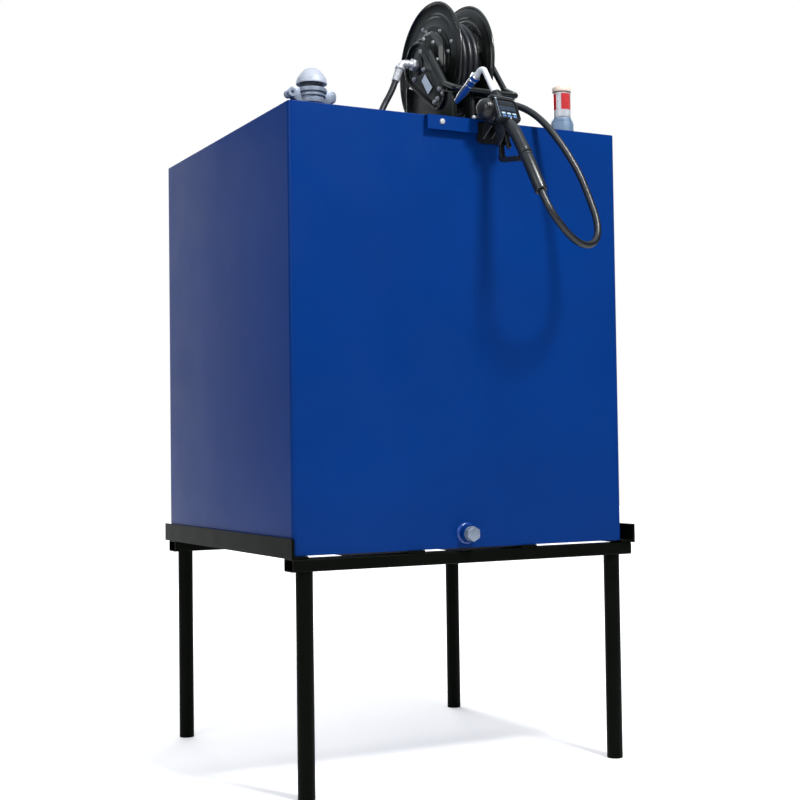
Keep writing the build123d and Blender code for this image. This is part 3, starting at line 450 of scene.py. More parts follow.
def ribbon(points, wide):
    """The outline of a strip that follows a line in the plane."""
    left, right = [], []
    for i, spot in enumerate(points):
        way = points[min(i + 1, len(points) - 1)] - points[max(i - 1, 0)]
        over = Vector((-way.y, way.x, 0)).normalized() * wide / 2
        left.append((spot + over)[:2])
        right.append((spot - over)[:2])
    return left + right[::-1]


def pipe(points, radii, steps, shape=None):
    """A round bar along a line of points, its radius given once or point by point."""
    shape = shape or bmesh.new()
    line = [Vector(p) for p in points]
    radii = radii if isinstance(radii, (list, tuple)) else [radii] * len(line)
    side, loops = None, []
    for i, spot in enumerate(line):
        way = (line[min(i + 1, len(line) - 1)] - line[max(i - 1, 0)]).normalized()
        side = (side or way.orthogonal()) - way * way.dot(side or way.orthogonal())
        side.normalize()
        over = way.cross(side)
        ring = [side * cos(tau * k / steps) + over * sin(tau * k / steps) for k in range(steps)]
        loops.append([shape.verts.new(spot + reach * radii[i]) for reach in ring])
    join_loops(shape, loops)
    shape.faces.new(loops[0])
    shape.faces.new(loops[-1])
    return shape


# Hoses: the same routes as the source's, each on one smooth line
HOSE_RADIUS = 10 * MM


def hose_line(name, points):
    curve = bpy.data.curves.new(name, "CURVE")
    curve.dimensions = "3D"
    curve.bevel_depth = HOSE_RADIUS
    curve.bevel_resolution = 6
    curve.resolution_u = 12
    curve.use_fill_caps = True
    line = curve.splines.new("NURBS")
    line.points.add(len(points) - 1)
    for target, point in zip(line.points, points):
        target.co = (*point, 1.0)
    line.order_u = 3
    line.use_endpoint_u = True
    made = bpy.data.objects.new(name, curve)
    bpy.context.scene.collection.objects.link(made)
    curve.materials.append(hose_rubber)
    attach(made, TANK)
    return made


# From the gun's sleeve through the hanging loop, then up through the rollers and under the winding
hose_run = [sleeve_end, sleeve_end + sleeve_dir * 50 * MM]
for spot in (
    (669, -262, 878),
    (715, -250, 843),
    (768, -232, 824),
    (815, -216, 833),
    (843, -199, 862),
    (852, -181, 910),
    (845, -160, 966),
    (832, -133, 1041),
    (810, -98, 1114),
    (788, -62, 1174),
    (772, -27, 1216),
    (757, 14, 1250),
    (741, 66, 1276),
    (725, 120, 1290),
    (711, 172, 1297),
    (705, 226, 1301),
):
    hose_run.append(on_tank(*spot))
for behind, drop in ((-122, 155.3), (-74, 153.3), (-20, 153.3)):
    hose_run.append(reel_at + Vector((0, behind, -drop)) * MM)
delivery_line = hose_line("delivery_hose_line", hose_run)
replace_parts(delivery_line, "delivery_hose")

# From the swivel's ferrule down to the tail on the lid
SWIVEL_REACH, FERRULE_LENGTH, FERRULE_LEAN = 156, 62, radians(21)
ferrule_at = reel_at + Vector((-SWIVEL_REACH, 0, 0)) * MM
ferrule_way = Vector((-sin(FERRULE_LEAN), 0, -cos(FERRULE_LEAN)))
supply_run = [ferrule_at + ferrule_way * FERRULE_LENGTH * MM]
supply_run.append(supply_run[0] + ferrule_way * 26 * MM)
for step in ((-14, 1, -26), (-15, 1.5, -27), (-14, -1.5, -28), (-10, -1, -27), (-5, 0, -26)):
    supply_run.append(supply_run[-1] + Vector(step) * MM)
supply_line = hose_line("supply_hose_line", supply_run)
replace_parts(supply_line, "supply_hose")


# Hose wound on the drum, two layers of turns
WOUND_RADIUS, WOUND_PITCH, TURN_STEPS = 9.9, 19.9, 56


def wound_layer(radius, start, turns, hand):
    """Turns side by side, from their start towards the drum's other side."""
    shape = bmesh.new()
    section = Matrix.Translation((radius, 0, start)) @ Matrix.Rotation(pi / 2, 4, "X")
    bmesh.ops.create_circle(shape, cap_ends=True, segments=14, radius=WOUND_RADIUS, matrix=section)
    bmesh.ops.spin(
        shape,
        geom=list(shape.faces) + list(shape.edges) + list(shape.verts),
        cent=(0, 0, 0),
        axis=(0, 0, hand),
        dvec=(0, 0, WOUND_PITCH / TURN_STEPS * (-1 if start > 0 else 1)),
        angle=tau * turns,
        steps=TURN_STEPS * turns,
        use_merge=False,
    )
    return shape


outer_turns = piece("wound_hose", wound_layer(133, -39.6, 4, 1), REEL_RIGHT, DRUM, hose_rubber, 60)
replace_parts(outer_turns, "hose_pack")
inner_layer = wound_layer(115.5, 29.6, 3, -1)
piece("wound_hose_under", inner_layer, REEL_RIGHT, DRUM, hose_rubber, 60)


# Reel: discs pressed in rings, their rims rolled outwards; heights are from the drum's middle
DISC_RIM = (194.6, 55.2)


def reel_disc(name, place):
    face = [
        (17, 52), (66, 52), (70, 54.4), (116, 54.4), (121, 52), (150, 52),
        (154, 54.2), (160, 54.2), (164, 52), (184, 52), (188, 53.2),
    ]
    rim = arc(DISC_RIM, 4.4, 205, 0, 9) + arc(DISC_RIM, 4.4, 0, -160, 9)[1:]
    back = [(r, h - 2) for r, h in face[::-1]]
    return piece(name, turned([*face, *rim, *back], 96), place, DRUM, reel_paint, 28)


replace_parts(reel_disc("pressed_disc_left", REEL_LEFT), "reel_disc_left")
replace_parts(reel_disc("pressed_disc_right", REEL_RIGHT), "reel_disc_right")


# Spring case: a round flange, a drum and an eight-sided cover
def case_cover():
    shape = turned([(17, 55), (124, 55), (124, 52.6), (122, 52.2), (17, 52.2)], 72)
    turned([(17, 66), (104, 66), (108.5, 62), (109.5, 55), (17, 55)], 72, shape)
    wide = arc((0, 0), 109, 22.5, 337.5, 7)
    narrow = arc((0, 0), 98, 22.5, 337.5, 7)
    loops = []
    for line, height in ((wide, 61), (wide, 66), (narrow, 75.5)):
        loops.append([shape.verts.new((x, y, height)) for x, y in line])
    join_loops(shape, loops)
    shape.faces.new(loops[-1])
    shape.faces.new(loops[0])
    return soften(shape, 1.6, 3, 20, lambda edge: min(v.co.z for v in edge.verts) > 60.5)


def case_bolts():
    return bolts(circle_of(117, 10, 325, 7, 55) + circle_of(84, 0, 315, 7, 75.4), 8, 3.5)


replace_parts(piece("case_cover", case_cover(), REEL_LEFT, DRUM, reel_paint, 30), "spring_case")
piece("case_bolts", case_bolts(), REEL_LEFT, DRUM, zinc)
for name, place in (("disc_bolts_left", REEL_LEFT), ("disc_bolts_right", REEL_RIGHT)):
    piece(name, bolts(circle_of(138, 20, 290, 3, 52), 9, 3), place, DRUM, zinc)
core = turned([(17, -50), (62, -50), (62, 50), (17, 50)], 64)
piece("drum_core", core, REEL_LEFT, DRUM, reel_paint)

# Arms: a pressed plate on a folded pedestal, with bolts round its hub, toe and foot
TOE = (134, -125)
ARM_INNER, ARM_SEAT = 94, 99


def arm_plate():
    shape = plate(two_rounds(70, TOE, 42), 4.8, ARM_INNER)
    band(two_rounds(70, TOE, 42), two_rounds(65, TOE, 37), 98, 108, shape)
    band(two_rounds(56, TOE, 28), two_rounds(51, TOE, 23), 98, 101, shape)
    rod((0, 0, 98), (0, 0, 103.5), 33, 31, 40, shape)
    return soften(shape, 1.3, 3, 50)


def arm_pedestal():
    foot = [(-60, -253), (230, -253), (230, -135), (150, -108), (30, -6), (-60, -57)]
    shape = plate(foot, 4.2, 94.3)
    for line in (
        [(-57.6, -253), (-57.6, -60)],
        [(227.6, -253), (227.6, -137), (152, -111)],
        [(-57.6, -250.4), (227.6, -250.4)],
    ):
        plate(ribbon([Vector((*p, 0)) for p in line], 4.6), 15, ARM_INNER, shape)
    return soften(shape, 1.2, 2, 50)


def arm_bolts():
    toe_bolts = [(x, y, ARM_SEAT) for x, y in ((123, -131), (156, -122), (105, -138), (134, -104))]
    return bolts(toe_bolts + circle_of(44, 60, 330, 3, ARM_SEAT), 10, 4)


def foot_bolts():
    return bolts([(x, -244, ARM_SEAT) for x in (-36, 60, 190)], 11, 5)


for side, place in (("left", REEL_LEFT), ("right", REEL_RIGHT)):
    pressed = piece("arm_plate_" + side, arm_plate(), place, TANK, reel_paint, 30)
    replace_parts(pressed, "reel_arm_" + side)
    piece("arm_pedestal_" + side, arm_pedestal(), place, TANK, reel_paint, 30)
    piece("arm_bolts_" + side, arm_bolts(), place, TANK, zinc)
    piece("foot_bolts_" + side, foot_bolts(), place, TANK, zinc)

label = [(51, -40), (29, -56), (68, -106), (96, -91)]
piece("arm_label", soften(plate(label, 1.2, 101.4), 0.4, 1), REEL_LEFT, TANK, blank_label)
for name, place, height in (("shaft_nut_left", REEL_LEFT, 101.6), ("shaft_nut_right", REEL_RIGHT, 105.6)):
    shape = rod((0, 0, 103), (0, 0, height), 24, 24, 40)
    piece(name, soften(shape, 0.8, 2), place, TANK, zinc)


# Swivel: hexagon, neck, elbow and a crimped ferrule on the hose
def swivel():
    shape = rod((0, 0, 105), (0, 0, 121), 19, steps=6)
    rod((0, 0, 121), (0, 0, 124), 15, 13.5, 32, shape)
    corner = Vector((0, 0, SWIVEL_REACH))
    down = Vector((0, -cos(FERRULE_LEAN), sin(FERRULE_LEAN)))
    pipe(bent([(0, 0, 118), corner, corner + down * 18], 13, 10), 10.8, 28, shape)
    rod((0, 0, 132), (0, 0, 138), 12.8, steps=32, shape=shape)
    return soften(shape, 0.9, 2, 40)


def crimped_ferrule():
    line = [(8, 13), (14.6, 13), (15.2, 14), (15.2, 21), (14.4, 22), (11.5, 22)]
    for step in range(6):
        base = 24 + step * 6
        line += [(11.5, base), (12.5, base + 1), (12.5, base + 4), (11.7, base + 5)]
    line += [(12.3, FERRULE_LENGTH - 1), (11.6, FERRULE_LENGTH), (8, FERRULE_LENGTH)]
    return turned(line, 40)


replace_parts(piece("swivel_elbow", swivel(), REEL_LEFT, TANK, zinc), "reel_swivel")
FERRULE = frame_at(ferrule_at, BACK, ferrule_way.cross(Vector(BACK)))
piece("crimped_ferrule", crimped_ferrule(), FERRULE, TANK, zinc, 40)

# Roller guide: a tube bent from arm to arm, and an open box with four rollers on pins
guide_low, guide_high = (Vector(v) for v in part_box("guide_frame"))
GUIDE = frame_at((guide_low + guide_high) / 2, RIGHT, UP)
ROLLER_LENGTH, LEVEL_LENGTH = 89, 105
UPRIGHT_AT, LEVEL_AT, BEFORE_MIDDLE = 43, 31, 11


def guide_box():
    outer, inner = rounded_box((-58, -50), (58, 50), 8), rounded_box((-53, -45), (53, 45), 4)
    shape = band(outer, inner, -22.9, 22.9)
    return soften(shape, 1.2, 2, 50)


def guide_tube():
    bar = [(86.9, 17.7, 103.5), (178.8, -99, 103.5), (252.3, -131, 103.5)]
    bar += [(252.3, -134, -103.5), (178.8, -99, -103.5), (86.9, 17.7, -103.5)]
    return pipe(bent(bar, 24), 9, 28)


def guide_rollers():
    """Two upright rollers in front of two level ones."""
    shape = bmesh.new()
    line = [(3, 0), (7.2, 0), (7.8, 0.8), (7.8, 88.2), (7.2, ROLLER_LENGTH), (3, ROLLER_LENGTH)]
    stood, laid = Matrix.Rotation(-pi / 2, 4, "X"), Matrix.Rotation(pi / 2, 4, "Y")
    for side in (-1, 1):
        upright = turned(line, 32)
        foot = Matrix.Translation((side * UPRIGHT_AT, -ROLLER_LENGTH / 2, BEFORE_MIDDLE))
        moved(upright, foot @ stood)
        level = turned([(r, h * LEVEL_LENGTH / ROLLER_LENGTH) for r, h in line], 32)
        foot = Matrix.Translation((-LEVEL_LENGTH / 2, side * LEVEL_AT, -BEFORE_MIDDLE))
        moved(level, foot @ laid)
        add_shape(shape, upright)
        add_shape(shape, level)
    return shape


def roller_pins():
    shape = bmesh.new()
    for side in (-1, 1):
        x, y = side * UPRIGHT_AT, side * LEVEL_AT
        for end in (-1, 1):
            rod((x, end * 44, BEFORE_MIDDLE), (x, end * 50.6, BEFORE_MIDDLE), 3.2, steps=20, shape=shape)
            rod((end * 52, y, -BEFORE_MIDDLE), (end * 58.6, y, -BEFORE_MIDDLE), 3.2, steps=20, shape=shape)
    return soften(shape, 0.5, 1)


tube = piece("guide_tube", guide_tube(), REEL_LEFT, TANK, reel_paint, 50)
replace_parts(tube, "guide_bar")
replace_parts(piece("guide_box", guide_box(), GUIDE, TANK, reel_paint), "guide_frame")
rollers = piece("rollers", guide_rollers(), GUIDE, TANK, black_plastic, 30)
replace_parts(rollers, "guide_rollers")
piece("roller_pins", roller_pins(), GUIDE, TANK, zinc)
corners = [(x, y, 22.9) for x, y in ((-46, 40), (-46, -40), (46, 40), (46, -40))]
piece("guide_bolts", bolts(corners, 9, 4, 6), GUIDE, TANK, zinc)

# Oil gun: x runs along it towards the spout, y up towards its display and z across
FACE_RAKE = atan2(12, 72)
SPOUT_AXIS, SPOUT_CORNER, SPOUT_END = -10, 203, -46
TRIGGER_PIN = (-14, -30)
FACE = GUN @ Matrix.Translation((-10, 4, 0)) @ Matrix.Rotation(FACE_RAKE, 4, "Z")
FACE = FACE @ Matrix.Rotation(-pi / 2, 4, "X")
METER = GUN @ Matrix.Translation((50, -26, 0))
SPOUT = GUN @ Matrix.Translation((0, SPOUT_AXIS, 0)) @ Matrix.Rotation(pi / 2, 4, "Y")
GRIP_END = GUN @ Matrix.Rotation(-pi / 2, 4, "Y")
NOZZLE = GUN @ Matrix.Translation((SPOUT_CORNER, SPOUT_END, 0)) @ Matrix.Rotation(pi / 2, 4, "X")
SLEEVE = frame_at(collar_foot, gun_wide, sleeve_dir.cross(gun_wide))


def display_body():
    shape = plate(rounded_box((1, -39.5), (75, 39.5), (7, 22, 22, 7), 8), 19, -22)
    shape = soften(shape, 3, 3, 50)
    peak = [(58, -18), (58, 14.6), (63, 15.4), (76, 7), (76, -18)]
    block = soften(plate(peak, 76, -38), 6, 4, 30)
    add_shape(shape, moved(block, FACE.inverted() @ GUN))
    return shape


def display_rim():
    outer = rounded_box((3, -37.5), (72, 37.5), (6, 20, 20, 6), 8)
    inner = rounded_box((7, -34), (66, 34), (3, 16, 16, 3), 8)
    return soften(band(outer, inner, -4, 0), 1, 2, 50)


# A painted highlight: a thin light grey strip along the rim's long edge, where the bezel shines
def display_highlight_strip():
    return soften(plate([(6, 35.4), (66, 35.4), (68, 37.2), (4, 37.2)], 1, -0.4), 0.3, 2, 50)


def display_screen():
    return soften(plate(rounded_box((30, -28), (60, 28), 3), 1.2, -3), 0.4, 1)


def display_buttons(row):
    shape = bmesh.new()
    for middle in (-19, 0, 19):
        plate(rounded_box((row - 2.8, middle - 6.6), (row + 2.8, middle + 6.6), 2.4), 2, -3, shape)
    return soften(shape, 0.6, 2)


housing = piece("display_body", display_body(), FACE, TANK, black_plastic, 30)
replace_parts(housing, "display_housing")
piece("display_rim", display_rim(), FACE, TANK, matt_plastic, 30)
# The light grey strip is a painted highlight on the display's bezel
piece("display_highlight_strip", display_highlight_strip(), FACE, TANK, grey_plastic)
piece("display_screen", display_screen(), FACE, TANK, screen_glass)
piece("display_buttons_high", display_buttons(21), FACE, TANK, button_white)
piece("display_buttons_low", display_buttons(12), FACE, TANK, button_blue)
screws = bolts([(3.4, 0, -0.8), (68, 33, -3.4), (68, -33, -3.4)], 4.4, 1, 3)
piece("display_screws", screws, FACE, TANK, zinc)


def meter_body():
    line = [
        (6, -36), (30, -36), (34, -35.2), (37.9, -31), (37.9, -14), (36.8, -13), (36.8, -11), (37.9, -10),
        (37.9, 12), (36.8, 13), (36.8, 15), (37.9, 16), (37.9, 25), (34, 29.6), (6, 30),
    ]
    shape = turned(line, 64)
    for way in range(20, 380, 45):
        x, y = 36.4 * cos(radians(way)), 36.4 * sin(radians(way))
        rod((x, y, -30), (x, y, 26), 3.6, steps=16, shape=shape)
    return shape


def meter_cap():
    line = [
        (0.01, -66), (9, -65.6), (17, -64), (23, -61), (27, -56.6), (27.6, -54), (27.2, -53), (28.6, -51),
        (29.4, -44), (29.9, -40), (29.9, -36), (4, -36),
    ]
    return turned(line, 56)


def meter_outlet():
    line = [
        (5, 40), (15.9, 40), (15.9, 90), (15.2, 91), (15.2, 92.6), (15.9, 93.4), (15.9, 101), (13, 104),
        (5, 104),
    ]
    return turned(line, 40)


def spout_ring():
    return turned([(6, 96), (13.6, 96), (14, 97), (14, 103), (12.6, 104.6), (8.8, 106), (6, 106)], 40)


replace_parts(piece("meter_body", meter_body(), METER, TANK, black_plastic, 30), "gun_meter")
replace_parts(piece("meter_cap", meter_cap(), METER, TANK, black_plastic, 30), "meter_cover")
piece("meter_outlet", meter_outlet(), SPOUT, TANK, black_plastic, 30)
piece("spout_ring", spout_ring(), SPOUT, TANK, zinc, 30)


def grip_body():
    """A waisted bar: places along and up the gun, with the radius there."""
    line = [
        (4, -13, 12), (3, -13, 14.2), (-8, -11.2, 15.2), (-24, -7, 16.8), (-42, -3, 17.9), (-62, -1.8, 17.6),
        (-84, -1, 17.3), (-104, -0.4, 17.8), (-118, 0, 18.4), (-124, 0, 18.4), (-125, 0, 17.6),
    ]
    return pipe([(along, up, 0) for along, up, _ in line], [radius for _, _, radius in line], 40)


def trigger_ears():
    outline = rounded_box((-23, -39), (-5, -4), 8)
    shape = plate(outline, 4, 6.5)
    plate(outline, 4, -10.5, shape)
    rod((*TRIGGER_PIN, -11), (*TRIGGER_PIN, 11), 3, steps=20, shape=shape)
    return soften(shape, 0.9, 2, 50)


def grip_collar():
    line = [(8, 124.6), (18.6, 124.6), (19.4, 125.6), (19.4, 129.6), (18.6, 130.8), (8, 130.8)]
    return turned(line, 48)


def guard_loop():
    """A flat bar round the trigger, thicker below, with a cheek on either side."""
    shape = plate(ribbon(bent([(22, -47), (-38, -66), (-77, -84), (-123, -22)], 12, 8), 8), 15.6, -7.8)
    plate(ribbon(bent([(-66, -80), (-78, -86), (-124, -26)], 12, 8), 14), 15, -7.5, shape)
    cheek = [(22, -20), (18, -52), (-36, -68), (-46, -64), (-40, -40), (-26, -22)]
    for base in (8.6, -12.6):
        plate(cheek, 4, base, shape)
    return soften(shape, 1.8, 3, 50)


def trigger_blade():
    shape = plate(ribbon(bent([(-15, -31), (-40, -38), (-68, -46)], 20, 6), 8.6), 11.6, -5.8)
    plate([(-30, -35), (-66, -36.5), (-71, -41), (-70, -50), (-40, -42)], 11.2, -5.6, shape)
    rod((*TRIGGER_PIN, -5.7), (*TRIGGER_PIN, 5.7), 6.9, steps=28, shape=shape)
    return soften(shape, 1.6, 3, 50)


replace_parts(piece("grip_body", grip_body(), GUN, TANK, grip_rubber, 50), "gun_grip")
piece("trigger_ears", trigger_ears(), GUN, TANK, black_plastic, 30)
piece("grip_collar", grip_collar(), GRIP_END, TANK, black_plastic, 30)
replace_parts(piece("guard_loop", guard_loop(), GUN, TANK, black_plastic, 40), "trigger_guard")
blade = piece("trigger_blade", trigger_blade(), GUN, TRIGGER, black_plastic, 40)
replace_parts(blade, "gun_trigger")


def spout_tube():
    corners = [(103, SPOUT_AXIS, 0), (SPOUT_CORNER, SPOUT_AXIS, 0), (SPOUT_CORNER, SPOUT_END - 1, 0)]
    return pipe(bent(corners, 32, 16), 8, 32)


def spout_nut():
    shape = rod((0, 0, 0.6), (0, 0, 15.4), 15.4, steps=6)
    rod((0, 0, -0.5), (0, 0, 16), 11.6, steps=36, shape=shape)
    return soften(shape, 0.9, 2, 40)


def nozzle_tube():
    line = [
        (5, 16), (11.4, 16), (12.4, 18), (12.4, 34), (11.6, 35), (11.6, 38), (12.4, 39), (12.4, 74), (12, 78),
        (9.4, 98), (8, 106), (8, 108), (6.4, 108), (5, 102),
    ]
    return turned(line, 48)


def sleeve_body():
    line = [
        (9, 0.5), (17.4, 0.5), (18, 2), (18, 7), (17, 8.4), (17.6, 12), (17.9, 40), (17.9, 112), (17.2, 115),
        (17.2, 116), (17.9, 117), (17.9, 124), (16.4, SLEEVE_LENGTH), (9.5, SLEEVE_LENGTH),
    ]
    return turned(line, 48)


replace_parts(piece("spout_tube", spout_tube(), GUN, TANK, spout_white, 40), "gun_spout")
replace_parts(piece("spout_nut", spout_nut(), NOZZLE, TANK, chrome), "nozzle_nut")
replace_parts(piece("nozzle_tube", nozzle_tube(), NOZZLE, TANK, chrome, 24), "gun_nozzle")
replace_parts(piece("sleeve_body", sleeve_body(), SLEEVE, TANK, grip_rubber, 30), "hose_sleeve")

# The round bolt in the gun's bracket
BRACKET = frame_at(on_tank(454, -18, 1181), RIGHT, UP)
bolt = soften(rod((0, 0, -1), (0, 0, 4.4), 8.4, 6.8, 32), 1.2, 3)
piece("bracket_bolt", bolt, BRACKET, TANK, zinc)


# Vent: octagon adapter, quick coupler with two cam levers, mesh and mushroom dome
VENT = frame_at(fill_at, RIGHT, BACK)
VENT_FRONT = frame_at(fill_at, RIGHT, UP)
LEVER_PIN_OUT, LEVER_PIN_UP = 58, 48


def octagon_adapter():
    shape = rod((0, 0, 14.2), (0, 0, 36), 31.6, steps=8)
    turned([(20, 20), (35, 20), (36.4, 21.4), (36.4, 30), (34, 33), (34, 37.8), (20, 37.8)], 64, shape)
    rod((0, 0, 36), (0, 0, 38), 29, 27, 48, shape)
    rod((0, 0, 0.6), (0, 0, 14), 27.6, steps=48, shape=shape)
    return soften(shape, 1, 2, 40)


def coupler_body():
    line = [
        (12, 38.2), (37, 38.2), (38.4, 39.4), (38.4, 45), (37.4, 46), (34, 46.4), (34, 49), (41, 49.6),
        (41.9, 50.6), (41.9, 58.8), (40.6, 61), (38, 62), (12, 62),
    ]
    return turned(line, 72)


def coupler_ears():
    """Two ears and a pin on either side, between which the levers swing."""
    shape = bmesh.new()
    outline = [(30, 59), (54, 58.5), (63, 56), (68, 49), (66, 40), (58, 30), (46, 21), (30, 20)]
    for side in (-1, 1):
        for base in (8.7, -13.3):
            add_shape(shape, plate([(side * x, y) for x, y in outline], 4.6, base))
        pin = (side * LEVER_PIN_OUT, LEVER_PIN_UP)
        rod((*pin, -13.6), (*pin, 13.6), 4, steps=24, shape=shape)
    return soften(shape, 1, 2, 50)


adapter = piece("octagon_adapter", octagon_adapter(), VENT, TANK, cast_aluminium)
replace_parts(adapter, "vent_adapter")
coupler = piece("coupler_body", coupler_body(), VENT, TANK, cast_aluminium, 24)
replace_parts(coupler, "vent_coupler")
piece("coupler_ears", coupler_ears(), VENT_FRONT, TANK, cast_aluminium)


def lever(side, has_ring):
    """A cam lever lying against the coupler; one has a pull ring, the other a stud."""
    tip, tip_round = ((side * 11, -7), 11.5) if has_ring else ((side * 2.5, -10), 10.5)
    outline = two_rounds(13.5, tip, tip_round, 16)
    outline = [(x + side * LEVER_PIN_OUT, y + LEVER_PIN_UP) for x, y in outline]
    shape = soften(plate(outline, 15.8, -7.9), 3.2, 4, 50)
    if has_ring:
        outer = arc((side * 64, 44), 12, 0, 348, 29)
        inner = arc((side * 64, 44), 5, 0, 348, 29)
        add_shape(shape, soften(band(outer, inner, 14.2, 18.4), 1.4, 3, 50))
        rod((side * 68.5, 36.5, 7), (side * 68.5, 36.5, 17), 3, steps=20, shape=shape)
    else:
        rod((side * 63, 37, 7.4), (side * 63, 37, 9.2), 3.4, 2.6, 20, shape)
    return shape


for name, side, body in (("lever_left", -1, LEFT_LEVER), ("lever_right", 1, RIGHT_LEVER)):
    made = piece(name, lever(side, side < 0), VENT_FRONT, body, cast_aluminium, 40)
    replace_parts(made, "cam_" + name)


def mesh_drum():
    return turned([(10, 62.2), (29.9, 62.2), (29.9, 85.8), (10, 85.8)], 56)


def dome_cap():
    line = [
        (28, 80), (38.6, 74.6), (42, 74.2), (42.5, 75.4), (42.5, 79), (41.9, 80), (41.9, 83), (40.4, 88),
        (37.4, 94), (33.8, 99.4), (29.8, 104.4), (26.2, 108.6), (22.8, 112), (19.2, 114.9), (15.6, 116.8),
        (11, 117.8), (0.01, 118), (0.01, 80),
    ]
    return turned(line, 72)


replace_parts(piece("mesh_drum", mesh_drum(), VENT, TANK, strainer_mesh), "vent_strainer")
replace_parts(piece("dome_cap", dome_cap(), VENT, TANK, dome_grey, 40), "vent_dome")
fill_weld = turned([(34.6, 0.3), (40, 0.3), (38.4, 2.6), (35.6, 5)], 72)
piece("fill_weld", fill_weld, VENT, TANK, tank_paint, 40)


# Level gauge: angular base, clear tube over a banded scale, ribbed cap
GAUGE_TURN = 36
gauge_way = (cos(radians(GAUGE_TURN)), sin(radians(GAUGE_TURN)), 0)
GAUGE = frame_at(gauge_at, gauge_way, (-gauge_way[1], gauge_way[0], 0))
SEAT_RADIUS, SCALE_LOW, SCALE_HIGH, SCALE_RADIUS, CAP_RADIUS = 28, 60.2, 138.8, 25.6, 27.2


def gauge_foot():
    cut = [(-30, -18), (-18, -30), (18, -30), (30, -18), (30, 18), (18, 30), (-18, 30), (-30, 18)]
    shape = plate(cut, 47, 0.4)
    small = [(x * 0.93, y * 0.93) for x, y in cut]
    plate(small, 6.4, 47.2, shape)
    return soften(shape, 1.8, 3, 35)


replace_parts(piece("gauge_foot", gauge_foot(), GAUGE, TANK, grey_plastic), "gauge_base")
seat = turned([(12, 53), (SEAT_RADIUS, 53), (SEAT_RADIUS, 58.5), (27, 60), (12, 60)], 56)
piece("gauge_seat", seat, GAUGE, TANK, grey_plastic)


def sleeve(inner, outer):
    """A round sleeve as tall as the scale."""
    line = [(inner, SCALE_LOW), (outer, SCALE_LOW), (outer, SCALE_HIGH), (inner, SCALE_HIGH)]
    return turned(line, 56)


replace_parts(piece("clear_film", sleeve(26.15, 26.4), GAUGE, TANK, clear_tube, 40), "gauge_tube")
scale_sleeve = piece("scale_sleeve", sleeve(19, SCALE_RADIUS), GAUGE, TANK, gauge_white, 40)
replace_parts(scale_sleeve, "gauge_scale")


def curved_patch(shape, start, wide, low, high, outer):
    """A patch printed on the scale, from its start on and as wide as some degrees."""
    ways = [start + wide * i / 24 for i in range(25)]
    line = []
    for radius, order in ((outer, 1), (SCALE_RADIUS - 0.1, -1)):
        line += [(radius * cos(radians(way)), radius * sin(radians(way))) for way in ways[::order]]
    plate(line, high - low, low, shape)


def scale_panels():
    shape = bmesh.new()
    for start in (232, 52):
        curved_patch(shape, start - GAUGE_TURN, 144, 84, 132, 25.85)
    return shape


def scale_ticks():
    """Nine ticks on either side, every fourth a long one, and a dark line at either end."""
    shape = bmesh.new()
    for start in (200, 20):
        for step in range(9):
            wide = 14 if step % 4 == 0 else 8
            low = 86 + step * 5.4
            curved_patch(shape, start - GAUGE_TURN, wide, low, low + 1, 25.75)
    for low, high in ((61, 63), (135.5, 138)):
        curved_patch(shape, 0, 359.9, low, high, 25.8)
    return shape


def cap_seal():
    return turned([(20, 136), (CAP_RADIUS, 136), (27.4, 137), (27.4, 139), (20, 139)], 56)


def ribbed_cap():
    line = [(8, 139.2), (26.6, 139.2), (CAP_RADIUS, 140), (CAP_RADIUS, 151.5), (25, 155), (20, 156), (8, 156)]
    shape = turned(line, 72)
    for way in range(0, 360, 12):
        x, y = CAP_RADIUS * cos(radians(way)), CAP_RADIUS * sin(radians(way))
        rod((x, y, 140.4), (x, y, 152), 0.9, 0.7, 10, shape)
    return shape


piece("scale_panels", scale_panels(), GAUGE, TANK, gauge_red, 40)
piece("scale_ticks", scale_ticks(), GAUGE, TANK, black_plastic, 40)
piece("cap_seal", cap_seal(), GAUGE, TANK, seal_brown, 40)
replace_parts(piece("ribbed_cap", ribbed_cap(), GAUGE, TANK, cap_plastic, 40), "gauge_cap")

# Drain: weld bead and a hexagon plug with a turned face
DRAIN = frame_at(on_tank(521, 0, 40), RIGHT, UP)


def drain_weld():
    return turned([(24, 0.2), (31.4, 0.2), (30.6, 3.2), (27.8, 6.4), (24.4, 7.4)], 64)


def hexagon_plug():
    shape = rod((0, 0, 24.4), (0, 0, 43.4), 21.8, steps=6)
    rod((0, 0, 24.1), (0, 0, 26.4), 20.6, steps=48, shape=shape)
    rod((0, 0, 42), (0, 0, 43.9), 18, 16.6, 48, shape)
    return soften(shape, 0.9, 2, 40)


# The drain weld's lighter blue is a painted highlight on the bead
piece("drain_weld", drain_weld(), DRAIN, TANK, weld_paint_and_highlight, 50)
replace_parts(piece("hexagon_plug", hexagon_plug(), DRAIN, TANK, cast_aluminium), "drain_plug")


# The solids get the same finishes as the pieces
def finish_nodes(finish, *names):
    for name in names:
        for slot in node[name].material_slots:
            slot.material = finish


